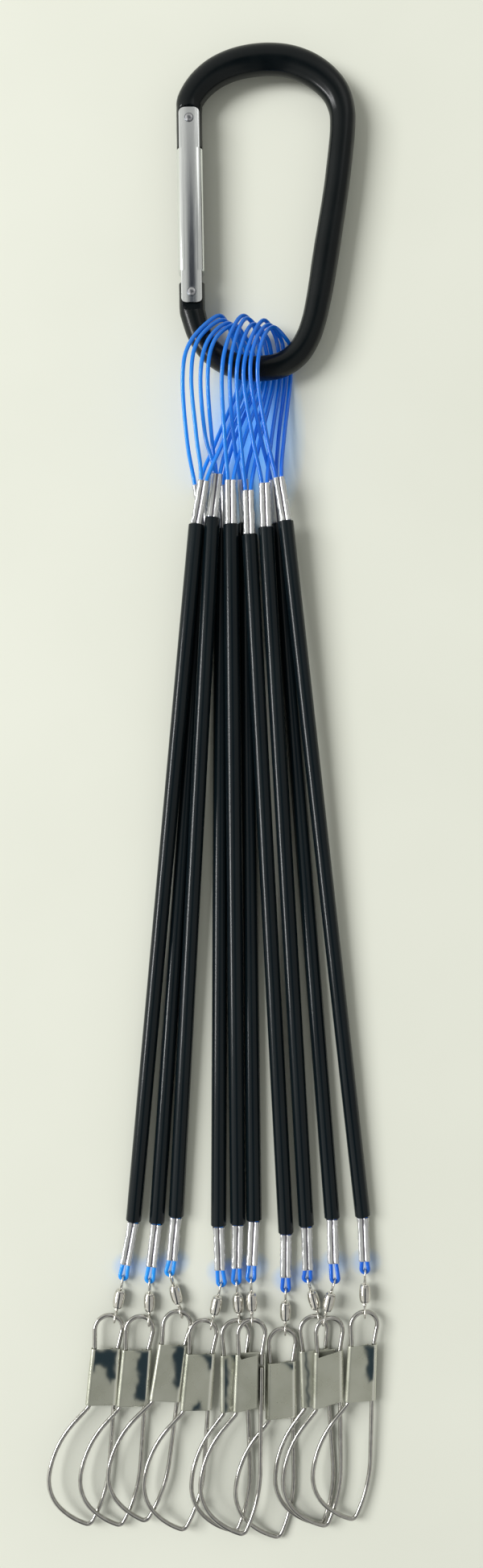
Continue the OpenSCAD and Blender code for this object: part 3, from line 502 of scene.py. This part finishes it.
# Gate: folded sheet, crowned face plate with round ends, channel sides, plain back plate
PLATE_HALF, PLATE_R, PLATE_BEND, PLATE_LOW = 3.05, 1.5, 2.45, 2.76
def gate_painted_reflection(x, y):
    """Painted dark reflection on the face plate: a stripe that is wider and darker at the pivot.
    """
    centre, narrow, widening, wide_until = 0.25, 0.35, 0.55, 38
    darkest, fade_end, fade_long = 0.62, 40, 26
    if not 1.5 < y < PIN_GAP - 4:
        return 0
    half = narrow + widening * max(0, 1 - y / wide_until)
    fade = min(1, max(0, (fade_end - y) / fade_long))
    return darkest * math.exp(-((x - centre) / half) ** 4) * fade
def gate_plate(bt, sign):
    ys = np.concatenate([np.linspace(-EAR, -EAR + 1.6, 9),
                         np.linspace(-EAR + 2.2, PIN_GAP + EAR - 2.2, 60),
                         np.linspace(PIN_GAP + EAR - 1.6, PIN_GAP + EAR, 9)])
    us = np.linspace(-1, 1, 33)
    top, low, shade = [], [], []
    for y in ys:
        e, half = min(y + EAR, PIN_GAP + EAR - y), PLATE_HALF
        if e < PLATE_R:
            half = PLATE_HALF - PLATE_R + math.sqrt(max(0, PLATE_R ** 2 - (PLATE_R - e) ** 2))
        for u in us:
            x = u * half
            crown = -0.27 * (abs(x) / PLATE_BEND) ** 2
            if abs(x) >= PLATE_BEND:
                crown = -0.27 - 0.22 * ((abs(x) - PLATE_BEND) / 0.6) ** 2
            top.append((x, y, sign * (GATE_H / 2 + crown)))
            low.append((x, y, sign * PLATE_LOW))
            shade.append(gate_painted_reflection(x, y) if sign > 0 else 0)
    nr, ns = len(ys), len(us)
    o, g = nr * ns, []
    for i in range(nr - 1):
        for s in range(ns - 1):
            a = i * ns + s
            g.append((a, a + 1, a + 1 + ns, a + ns))
            g.append((o + a, o + a + ns, o + a + 1 + ns, o + a + 1))
    for i in range(nr - 1):
        a, b = i * ns, (i + 1) * ns
        g.append((a, b, b + o, a + o))
        g.append((a + ns - 1, a + ns - 1 + o, b + ns - 1 + o, b + ns - 1))
    for s in range(ns - 1):
        g.append((s, s + o, s + 1 + o, s + 1))
        a = (nr - 1) * ns + s
        g.append((a, a + 1, a + 1 + o, a + o))
    bt.add(gate_frame(top + low), g, shade + [0] * o)
def gate_wall(bt, sign):
    """One side of the channel, a rounded section with slightly drawn-in ends."""
    cx, cz, outer, inner = 1.85, 1.48, 2, 1.25
    ring = arc(cx, cz, outer, 90, 0, 9) + arc(cx, -cz, outer, 0, -90, 9)
    ring += (arc(cx, cz, inner, 90, 0, 9) + arc(cx, -cz, inner, 0, -90, 9))[::-1]
    v = []
    for y, d in ((6.4, .25), (6.65, 0), (42.25, 0), (42.5, .25)):
        v += [(sign * (x - d * (x > 3)), y, z * (1 - d * .05)) for x, z in ring]
    bt.add(gate_frame(v), rings_to_faces(4, len(ring)))
def gate():
    bt = Batch()
    for side_of in (gate_plate, gate_wall):
        side_of(bt, 1)
        side_of(bt, -1)
    ob = bt.make("gate_shape", "gate", [M_GATE], 35)
    face_outward(ob)
    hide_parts("gate")
    # Rivets with domed, slightly uneven heads, with a painted dark reflection in the middle and
    # painted shade round the foot
    dome = [(0.02, 3.86), (0.35, 3.84), (0.7, 3.78), (1.0, 3.70), (1.25, 3.60), (1.35, 3.53),
            (1.0, 3.5), (1.0, 0)]
    for name, y, body, cad in (("catch_rivet", PIN_GAP, "gate", "gate_catch_pin"),
                               ("pivot_rivet", 0, "carabiner", "gate_pivot_pin")):
        v, f = revolve(dome + [(r, -h) for r, h in dome[::-1]])
        v = np.c_[v[:, 0], -v[:, 2], v[:, 1]]
        ang, rr = np.arctan2(v[:, 1], v[:, 0]), np.hypot(v[:, 0], v[:, 1])
        v[:, 2] += np.where(np.abs(v[:, 2]) > 3.6, 0.05 * np.sin(3 * ang + 1) * rr, 0)
        up = np.abs(v[:, 2])
        # Painted dark reflection in the middle of the dome and painted shade round its foot
        painted_dark = 0.85 * ((rr > 1.1) & (up > 3.5)) + 0.6 * (rr < 0.5) * (up > 3.7)
        rivet = Batch()
        rivet.add(gate_frame(v + V(0, y, 0)), f, painted_dark)
        o2 = rivet.make(name, body, [M_PIN], 50)
        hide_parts(cad)
gate()

# Lines: large loop over the bar, one core inside the tube, small loop round the eye
def s_bend(a, b, n=7):
    """Points between a and b on a soft double bend, both ends left out."""
    out = []
    for j in range(1, n):
        t = j / n
        e = t * t * (3 - 2 * t)
        out.append(V(a[0] + (b[0] - a[0]) * e, a[1] + (b[1] - a[1]) * t,
                     a[2] + (b[2] - a[2]) * e))
    return out
def line_path(k):
    su, sl = STRAND / 2 * across(upper_crimp_lean[k]), STRAND / 2 * across(crimp_lean[k])
    loops = [V(CARA_LEFT + CARA_LEN * a, CARA_FOOT + CARA_LEN * b, CARA_LEN * c)
             for a, b, c in loop_point_shares[k]]
    ctrl = [up_foot(k) - su, up_head(k) - su] + loops + [up_head(k) + su, up_foot(k) + su]
    big = catmull(ctrl, 14)[14:-14]
    first = up_foot(k) - su + 0.17 * tube_dir(k)
    a, b = up_foot(k) + su, tube_top(k) + CORE_BEND * tube_dir(k)
    c, e = tube_foot(k) - CORE_BEND * tube_dir(k), low_head(k) + sl
    mid, x = upper_eye(k) - (LOOP_R + 0.5) * swivel_dir(k), across(crimp_lean[k])
    small = [mid + LOOP_R * (math.cos(t) * x + math.sin(t) * low_dir(k))
             for t in np.linspace(0, math.pi, 17)]
    out = low_foot(k) + LINE_END * low_dir(k)
    last = low_head(k) - sl - LINE_END * low_dir(k)
    return np.array([first, *big, a, *s_bend(a, b), b, c, *s_bend(c, e), e, out + sl,
                     *small, out - sl, last])
for k in range(10):
    v, f = sweep(line_path(k), LINE_D / 2, 14)
    ob = new_object("line_coat_%02d" % (k + 1), v, f, "leashes", [M_LINE], 60)
    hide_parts("line_%02d" % (k + 1))

# Tubes with soft ends, cut slightly askew
def tubes():
    bt, askew_by, turn_by = Batch(), 0.16, 1.7
    R, r = TUBE_D / 2, TUBE_BORE / 2
    end = [(r, 0.15), (r + 0.08, 0.0), (R - 0.22, 0.0), (R - 0.06, 0.08), (R, 0.3)]
    prof = [(r, 3)] + end + [(x, TUBE_L - y) for x, y in end[::-1]] + [(r, 3)]
    for k in range(10):
        v, f = revolve(prof)
        askew = np.abs(askew_by * np.cos(np.arctan2(v[:, 2], v[:, 0]) + k * turn_by))
        y = v[:, 1]
        v[:, 1] += np.where(y < 2, askew, np.where(y > TUBE_L - 2, -askew, 0))
        bt.add(v @ turned(tube_lean(k), tube_pitch(k)).T + tube_foot(k), f[:-2])
    ob = bt.make("tube_sleeves", "leashes", [M_TUBE], 45)
    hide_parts("tubes")
tubes()

# Crimps: two barrels pressed together, painted shade in the valley between them, flared at the
# tube end
def crimp_ring(h, flare_up, dent, phase):
    """Points of one ring at height h, and how much painted shade lies in the valley and along
    the outer edges.
    """
    barrel_r, flare_wide, flare_reach, flare_long = 0.88, 0.22, 0.4, 0.9
    lip_wide, lip_long, round_off, waist = 0.03, 0.8, 0.07, 0.62
    valley_half, rim_at, rim_half, points = 0.27, 1.42, 0.12, 48
    d = CRIMP_L - h if flare_up else h
    flare = max(0, 1 - d / flare_long)
    reach = flare_reach * flare * (1 if flare_up else -1)
    wide = 1 + flare_wide * flare + lip_wide * max(0, 1 - (CRIMP_L - d) / lip_long)
    at_end = (h < .05) or (h > CRIMP_L - .05)
    cx, ri = STRAND / 2, barrel_r * wide * (1 - round_off * at_end)
    ring, shade = [], []
    for a in 2 * np.pi * np.arange(points) / points:
        ux, uz = math.cos(a), math.sin(a)
        # distance from the middle to the union of the two circles
        disc = ri * ri - (cx * uz) ** 2
        dist = cx * abs(ux) + math.sqrt(disc) if disc > 0 else ri * 0.55
        dist = max(dist, waist * ri)
        waves = np.array([math.sin((m + 1) * a + phase) for m in range(6)])
        dist *= 1 + dent @ waves * 0.5
        ring.append((dist * ux, h + reach, dist * uz))
        # Painted shade in the valley between the barrels and along their outer edges
        valley = math.exp(-((dist * ux) / valley_half) ** 2)
        rim = math.exp(-((abs(dist * ux) - rim_at) / rim_half) ** 2)
        shade.append(min(1, valley + 0.5 * rim))
    return ring, shade
def crimps(name, cad, foot, lean, pitch, flare_up, seed):
    bt, rs = Batch(), np.random.default_rng(seed)
    hs = np.concatenate([[0.0, 0.12], np.linspace(0.5, CRIMP_L - 0.5, 16),
                         [CRIMP_L - 0.12, CRIMP_L]])
    for k in range(10):
        dent, phase = rs.normal(0, 0.035, (len(hs), 6)), rs.uniform(0, 6.28)
        v, shade = [], []
        for h, bumps in zip(hs, dent):
            ring, dark = crimp_ring(h, flare_up, bumps, phase)
            v += ring
            shade += dark
        # Hollow ends: a ring pulled in at each, and the same ring deeper inside, with light
        # painted shade on the lip and full painted shade inside
        n, last = len(ring), (len(hs) - 1) * len(ring)
        f = rings_to_faces(len(hs), n, caps=False)
        for o, h, inner in ((0, 0.0, 0.6), (last, CRIMP_L, CRIMP_L - 0.6)):
            lip = [(x * 0.80, h, z * 0.74) for x, _, z in v[o:o + n]]
            b0 = len(v)
            v += lip + [(x, inner, z) for x, _, z in lip]
            shade += [0.15] * n + [1.0] * n
            for a in range(n):
                b = (a + 1) % n
                f.append((o + a, o + b, b0 + b, b0 + a))
                f.append((b0 + a, b0 + b, b0 + n + b, b0 + n + a))
        bt.add(np.array(v) @ turned(lean[k], pitch[k]).T + foot(k), f, shade)
    ob = bt.make(name, "leashes", [M_CRIMP], 60)
    face_outward(ob)
    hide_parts(cad)
crimps("upper_sleeves", "upper_crimps", up_foot, upper_crimp_lean, upper_crimp_pitch, False, 4)
crimps("lower_sleeves", "lower_crimps", low_foot, crimp_lean, crimp_pitch, True, 9)

# Swivels: round-shouldered barrel, and eyes bent from wire that crosses at the neck
def bent_eye(k, down, at):
    """Bent eye wire of swivel k at a place, with its neck up or down."""
    pts = [(0.0, 3.0), (0.10, 2.2), (0.45, 1.75), (1.05, 1.2), (1.45, 0.45), (1.48, -0.4),
           (1.1, -1.1), (0.4, -1.48), (-0.4, -1.48), (-1.1, -1.1), (-1.48, -0.4),
           (-1.45, 0.45), (-1.05, 1.15), (-0.45, 1.65), (0.0, 2.0), (0.28, 2.35)]
    off = np.linspace(-0.16, 0.16, len(pts))
    path = catmull([(o, y * down, x) for (x, y), o in zip(pts, off)], 5)
    v, f = sweep(path, EYE_WIRE / 2, 12, V(1, 0, 0), 0.5)
    return v @ turned(swivel_lean[k], swivel_pitch[k]).T + at, f
def swivels():
    up, R = Batch(), BARREL_D / 2
    half = [(0.36, 2.3), (0.42, 2.62), (0.9, 2.7), (1.18, 2.66), (1.30, 2.5), (1.36, 2.3),
            (1.5, 2.0), (1.62, 1.5), (1.69, 0.8)]
    prof = [(r, -y) for r, y in half] + [(R, 0)] + half[::-1]
    for k in range(10):
        up.add(*bent_eye(k, -1, upper_eye(k)))
        v, f = revolve(prof)
        shade = 0.5 * (np.abs(np.abs(v[:, 1]) - 2.32) < 0.12)
        m = turned(swivel_lean[k], swivel_pitch[k])
        b = Batch()
        b.add((v + V(0, -BARREL_L / 2, 0)) @ m.T + barrel_head(k), f, shade)
        ob = b.make("barrel_shell_%02d" % (k + 1), "swivel_barrel_%02d" % (k + 1), [M_SWIVEL],
                    40)
        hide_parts("swivel_barrel_%02d" % (k + 1))
    ob = up.make("upper_eye_wires", "leashes", [M_SWIVEL], 60)
    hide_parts("upper_eyes")
swivels()

# Snap wire, stepped as a bent wire: leg, loop, long side, belly, then the free arm
def bent(start, heading, steps, gap=0.45):
    """Path of straights ("s", length) and arcs ("a", radius, angle), points gap apart."""
    p, h = V(*start), heading
    out = [p]
    for kind, size, *angle in steps:
        c, s = math.cos(math.radians(h)), math.sin(math.radians(h))
        if kind == "s":
            n = max(1, int(size / gap))
            out += [p + V(-s, c) * size * j / n for j in range(1, n + 1)]
            p = p + V(-s, c) * size
        else:
            a = angle[0]
            centre = p - (1 if a > 0 else -1) * size * V(c, s)
            w = p - centre
            n = max(4, int(size * math.radians(abs(a)) / gap))
            for j in range(1, n + 1):
                t = math.radians(a * j / n)
                out.append(centre + V(w[0] * math.cos(t) - w[1] * math.sin(t),
                                      w[0] * math.sin(t) + w[1] * math.cos(t)))
            p = out[-1].copy()
            h += a
    return np.array(out)
FIXED = bent((3.5, -13.0), 0, [
    ("s", 2.6), ("a", 1.2, -9.75), ("s", 5.48), ("a", HOOK_R, 193.05), ("s", 5.36),
    ("a", 1.2, -5.21), ("s", 17.105), ("a", 1.5, -39.5), ("s", 5.21), ("a", 26.58, 36.39),
    ("a", 12.93, 50.45), ("a", 21.72, 25.41)])
ARM = bent((-2.412, -62.393), 250.84, [("a", 1.6, 83.33), ("a", 38.99, 25.79), ("s", 30.3)])
# How many points of the fixed wire and of the arm the soft bend between them takes over
BEND_FIXED, BEND_ARM = 6, 6
def to_snap(k, p):
    m, o = snap_frame(k)
    p = np.asarray(p, float)
    if p.shape[1] == 2:
        p = np.c_[p, np.zeros(len(p))]
    return p @ m.T + o
def wire_piece(name, k, pts, body, ends):
    v, f = sweep(to_snap(k, pts), WIRE / 2, 20, snap_frame(k)[0] @ V(0, 0, 1), ends)
    return new_object(name, v, f, body, [M_WIRE], 60, {"shade": np.zeros(len(v))})

# Painted dark reflections on the clasps' plates, by snap number, as outlines across and along
# the plate
PAINTED_REFLECTIONS = {
    1: [[(-.1, .0), (.95, .0), (.97, .50), (.75, .58), (.62, .50), (.50, .33), (.30, .29),
         (.12, .30), (.05, .42), (-.1, .45)]],
    2: [[(.42, .0), (1.1, .0), (1.1, .90), (.60, .89), (.52, .78), (.56, .60), (.62, .42),
         (.50, .32), (.52, .14), (.62, .035)]],
    3: [[(.42, .0), (1.1, .0), (1.1, .70), (.88, .76), (.72, .68), (.74, .50), (.60, .34),
         (.52, .20), (.60, .05)]],
    4: [[(.42, .0), (1.1, .0), (1.1, .28), (.92, .30), (.80, .16), (.62, .05)],
        [(.20, 1.02), (.34, .92), (.52, .82), (.66, .86), (.70, .98), (.66, 1.02)]],
    5: [[(-.1, .04), (.10, .03), (.18, .16), (.16, .60), (.08, 1.02), (-.1, 1.02)],
        [(.30, .0), (.75, .0), (.60, .14), (.44, .10)]],
    7: [[(.50, .0), (1.1, .0), (1.1, .16), (.90, .13), (.72, .04)]],
    8: [[(.05, .0), (.16, .0), (.20, .5), (.14, 1.02), (.06, 1.02), (.10, .5)]],
    10: [[(.50, .0), (1.1, .0), (1.1, .42), (.96, .62), (.80, .66), (.66, .52), (.70, .30),
          (.60, .10)]]}
def soft_inside(u, s, outline, edge=0.055, stretch=2.2):
    """1 well inside the outline and 0 well outside; stretch is the plate's length to width."""
    q, best, inside = np.array([u, s * stretch]), 9.0, False
    pts = [np.array([a, b * stretch]) for a, b in outline]
    for i in range(len(pts)):
        a, b = pts[i - 1], pts[i]
        e = b - a
        t = min(1, max(0, (q - a) @ e / (e @ e)))
        best = min(best, np.linalg.norm(q - a - t * e))
        if (a[1] > q[1]) != (b[1] > q[1]):
            if q[0] < (b[0] - a[0]) * (q[1] - a[1]) / (b[1] - a[1]) + a[0]:
                inside = not inside
    return 1 / (1 + math.exp((-best if inside else best) / edge * 1.6))
# Parts of the clasp's section
LEFT_CURL, FRONT, RIGHT_CURL, BACK = range(4)
def clasp(k):
    flipped, slant_front = k == 6, k == 9
    mid = CLASP_INNER + SHEET / 2
    wide, taper = CLASP_RIGHT - CLASP_LEFT, math.tan(math.radians(CLASP_TAPER))
    prof = [(CLASP_OPEN, -mid, BACK)]
    prof += [(x, -mid, BACK) for x in np.linspace(1.6, CLASP_LEFT, 8)[:-1]]
    prof += [(x, z, LEFT_CURL) for x, z in arc(CLASP_LEFT, 0, mid, 270, 90, 15)]
    prof += [(x, mid, FRONT) for x in np.linspace(CLASP_LEFT, CLASP_RIGHT, 34)[1:-1]]
    prof += [(x, z, RIGHT_CURL) for x, z in arc(CLASP_RIGHT, 0, mid, 90, 0, 8)]
    prof += [(CLASP_RIGHT + mid, z, RIGHT_CURL) for z in (-0.35, -CLASP_WALL)]
    rows, slanted = 46, FRONT if slant_front else BACK
    v, shade, pale = [], [], []
    for i in range(rows):
        s = i / (rows - 1)
        for x, z, part in prof:
            u = (x - CLASP_LEFT) / wide
            within = min(1, max(0, u))
            top = CLASP_SLANT * (1 - within) if part == slanted else 0.0
            bottom = CLASP_SLANT * within if part == slanted else 0.0
            y = CLASP_HEAD - top - s * (CLASP_L - top - bottom)
            v.append((x + (y - CLASP_HEAD) * taper * (1 - within), y, -z if flipped else z))
            # Painted dark reflections on the front plate
            dark = 0.0
            if part == FRONT and not flipped:
                wob = (0.03 * math.sin(9.3 * u + 13 * s + k * 2.1)
                       + 0.02 * math.sin(29 * s - 11 * u + k))
                dark = max([0] + [soft_inside(u + wob, s + wob / 2, patch)
                                  for patch in PAINTED_REFLECTIONS.get(k, [])])
            shade.append(0.97 * dark)
            # Painted highlight along the right fold of the sheet, with a slight wavy tone over
            # the plate
            edge = 0.8 if part == RIGHT_CURL and z > 0 else 0.0
            if part == FRONT:
                edge = math.exp(-((u - 0.985) / 0.035) ** 2)
            pale.append(0.75 * edge + 0.10 * (0.5 + 0.5 * math.sin(3.1 * u + 4.3 * s + k)))
    faces = rings_to_faces(rows, len(prof), caps=False, closed=False)
    ob = new_object("clasp_sheet_%02d" % k, to_snap(k - 1, v), faces, None, [M_CLASP], 0,
                    {"shade": shade, "pale": pale})
    apply_modifier(ob, "SOLIDIFY", thickness=SHEET * MM, offset=0, use_even_offset=True)
    bevel(ob, 0.00006, 1, 60)
    ob.data.set_sharp_from_angle(angle=math.radians(50))
    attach(ob, body_of(k))
    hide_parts("clasp_%02d" % k)
def snap(k):
    i = k - 1
    wire = wire_piece("snap_wire_%02d" % k, i, FIXED[:-BEND_FIXED], body_of(k), 0.5)
    v, f = bent_eye(i, 1, lower_eye(i))
    eye = new_object("lower_eye_wire_%02d" % k, v, f, body_of(k), [M_SWIVEL], 60,
                     {"shade": np.zeros(len(v))})
    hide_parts("snap_%02d" % k)
    tail = wire_piece("snap_tail_%02d" % k, i, ARM[BEND_ARM:], "snap_arm_%02d" % k, 0.5)
    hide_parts("snap_arm_%02d" % k)
    # The bend between wire and arm, a piece of its own on neither body
    path = np.vstack([FIXED[-BEND_FIXED - 1:-1], ARM[:BEND_ARM + 1]])
    bend = wire_piece("snap_bend_%02d" % k, i, path, None, 0)
    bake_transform(bend)
for k in range(1, 11):
    snap(k)
    clasp(k)

# Table: pale, with painted blue light from the large and the small loops on it, glowing under
# the large loops
def glow(t, place, x, y, rx, ry):
    """1 at a place of the table, falling to 0 at the radii rx and ry, in metres."""
    mp = node(t, "ShaderNodeMapping", vector_type="POINT", Location=(-x / rx, -y / ry, 0),
              Scale=(1 / rx, 1 / ry, 1))
    t.links.new(place, mp.inputs["Vector"])
    g = node(t, "ShaderNodeTexGradient", gradient_type="SPHERICAL")
    t.links.new(mp.outputs["Vector"], g.inputs["Vector"])
    return g.outputs["Fac"]
def floor():
    me, s = bpy.data.meshes.new("floor"), 1.6
    me.from_pydata([(-s, -s, 0), (s, -s, 0), (s, s, 0), (-s, s, 0)], [], [(0, 1, 2, 3)])
    ob = bpy.data.objects.new("floor", me)
    bpy.context.scene.collection.objects.link(ob)
    m, t, b = shader("floor", (0.84, 0.85, 0.80), 0.9, spec=0.1)
    me.materials.append(m)
    place = object_place(t)
    col = ramp(t, noise(t, 14, 3, 0.5), [(0.3, (0.835, 0.850, 0.750)),
                                         (0.7, (0.865, 0.880, 0.780))])
    # Painted blue light under the large loops, which also glows
    blue = ramp(t, glow(t, place, 0.0115, 0.108, 0.0165, 0.031),
                [(0.0, 0.0), (0.35, 0.35), (0.7, 0.9), (1.0, 1.0)])
    col = mix(t, blue, col, (0.32, 0.64, 1.0))
    t.links.new(blue, b.inputs["Emission Strength"])
    b.inputs["Emission Color"].default_value = (0.03, 0.17, 0.32, 1)
    for k in range(10):
        x, y, _ = low_foot(k) * MM
        # Painted blue light under each small loop
        small_loop_light = ramp(t, glow(t, place, x + 0.0006, y - 0.0012, 0.0052, 0.0046),
                    [(0.0, 0.0), (0.4, 0.4), (1.0, 0.8)])
        col = mix(t, small_loop_light, col, (0.42, 0.64, 0.96))
    t.links.new(col, b.inputs["Base Color"])
floor()

# Lights: key lights the table and the diffuse parts, stripe and side are seen in the gloss
def area(loc, target, size, power):
    l = bpy.data.lights.new("area", "AREA")
    l.shape, l.energy = "RECTANGLE", power
    l.size, l.size_y = size
    o = bpy.data.objects.new("area", l)
    bpy.context.scene.collection.objects.link(o)
    o.location = loc
    o.rotation_euler = (Vector(target) - Vector(loc)).to_track_quat("-Z", "Y").to_euler()
    return o
stripe = area((-0.87, -0.03, 0.50), (0, -0.03, 0), (0.74, 0.13), 9.4)
key = area((-1.55, 0.45, 1.60), (0, 0.0, 0), (0.95, 1.3), 46.4)
side = area((0.45, 0.75, 0.75), (0, 0.1, 0), (0.4, 0.4), 0.4)
stripe.visible_diffuse = side.visible_diffuse = key.visible_glossy = False

# World: even for diffuse rays; for gloss rays pale, with a dark band overhead for the one
# who took the photo, and brighter to the left
def sky():
    w = bpy.data.worlds.new("world")
    bpy.context.scene.world = w
    w.use_nodes = True
    t, bg = w.node_tree, w.node_tree.nodes["Background"]
    way = node(t, "ShaderNodeSeparateXYZ")
    t.links.new(node(t, "ShaderNodeTexCoord").outputs["Generated"], way.inputs[0])
    pale = ramp(t, way.outputs["Z"], [
        (0.0, (0.80, 0.80, 0.76)), (0.40, (0.82, 0.82, 0.78)), (0.80, (0.72, 0.72, 0.69)),
        (1.0, (0.60, 0.60, 0.58))])
    lit = node(t, "ShaderNodeVectorMath", operation="SCALE")
    t.links.new(pale, lit.inputs[0])
    t.links.new(map_range(t, way.outputs["X"], -1.0, 1.0, 1.35, 0.65), lit.inputs["Scale"])
    off = node(t, "ShaderNodeMath", operation="ABSOLUTE")
    t.links.new(way.outputs["X"], off.inputs[0])
    clear = ramp(t, off.outputs[0], [(0.0, 0.0), (0.13, 0.04), (0.30, 1.0), (1.0, 1.0)])
    far = ramp(t, way.outputs["Y"], [(0.0, 0.0), (0.355, 0.0), (0.43, 1.0), (1.0, 1.0)])
    clear = mix(t, far, clear, (1.0, 1.0, 1.0))
    gloss = mix(t, clear, (0.035, 0.045, 0.065), lit.outputs[0])
    even = node(t, "ShaderNodeLightPath").outputs["Is Diffuse Ray"]
    t.links.new(mix(t, even, gloss, (0.42, 0.4245, 0.402)), bg.inputs["Color"])
    bg.inputs["Strength"].default_value = 0.85
    w.cycles.sampling_method = "NONE"
sky()

# Camera straight above: its place in millimetres, the sensor and the photo's scale
CAM_X, CAM_Y, CAM_H, SENSOR, PHOTO_ROWS, PX_PER_MM = 8.315, 3.366, 430, 36, 1948, 4.13
cam = bpy.data.cameras.new("camera")
co = bpy.data.objects.new("camera", cam)
bpy.context.scene.collection.objects.link(co)
co.location, co.rotation_euler = (CAM_X * MM, CAM_Y * MM, CAM_H * MM), (0, 0, 0)
cam.sensor_fit, cam.sensor_height, cam.sensor_width = "VERTICAL", SENSOR, SENSOR
cam.lens, cam.clip_start = SENSOR * CAM_H / (PHOTO_ROWS / PX_PER_MM), 0.01
bpy.context.scene.camera = co
bpy.context.scene.cycles.caustics_reflective = False
bpy.context.scene.view_settings.view_transform = "Standard"
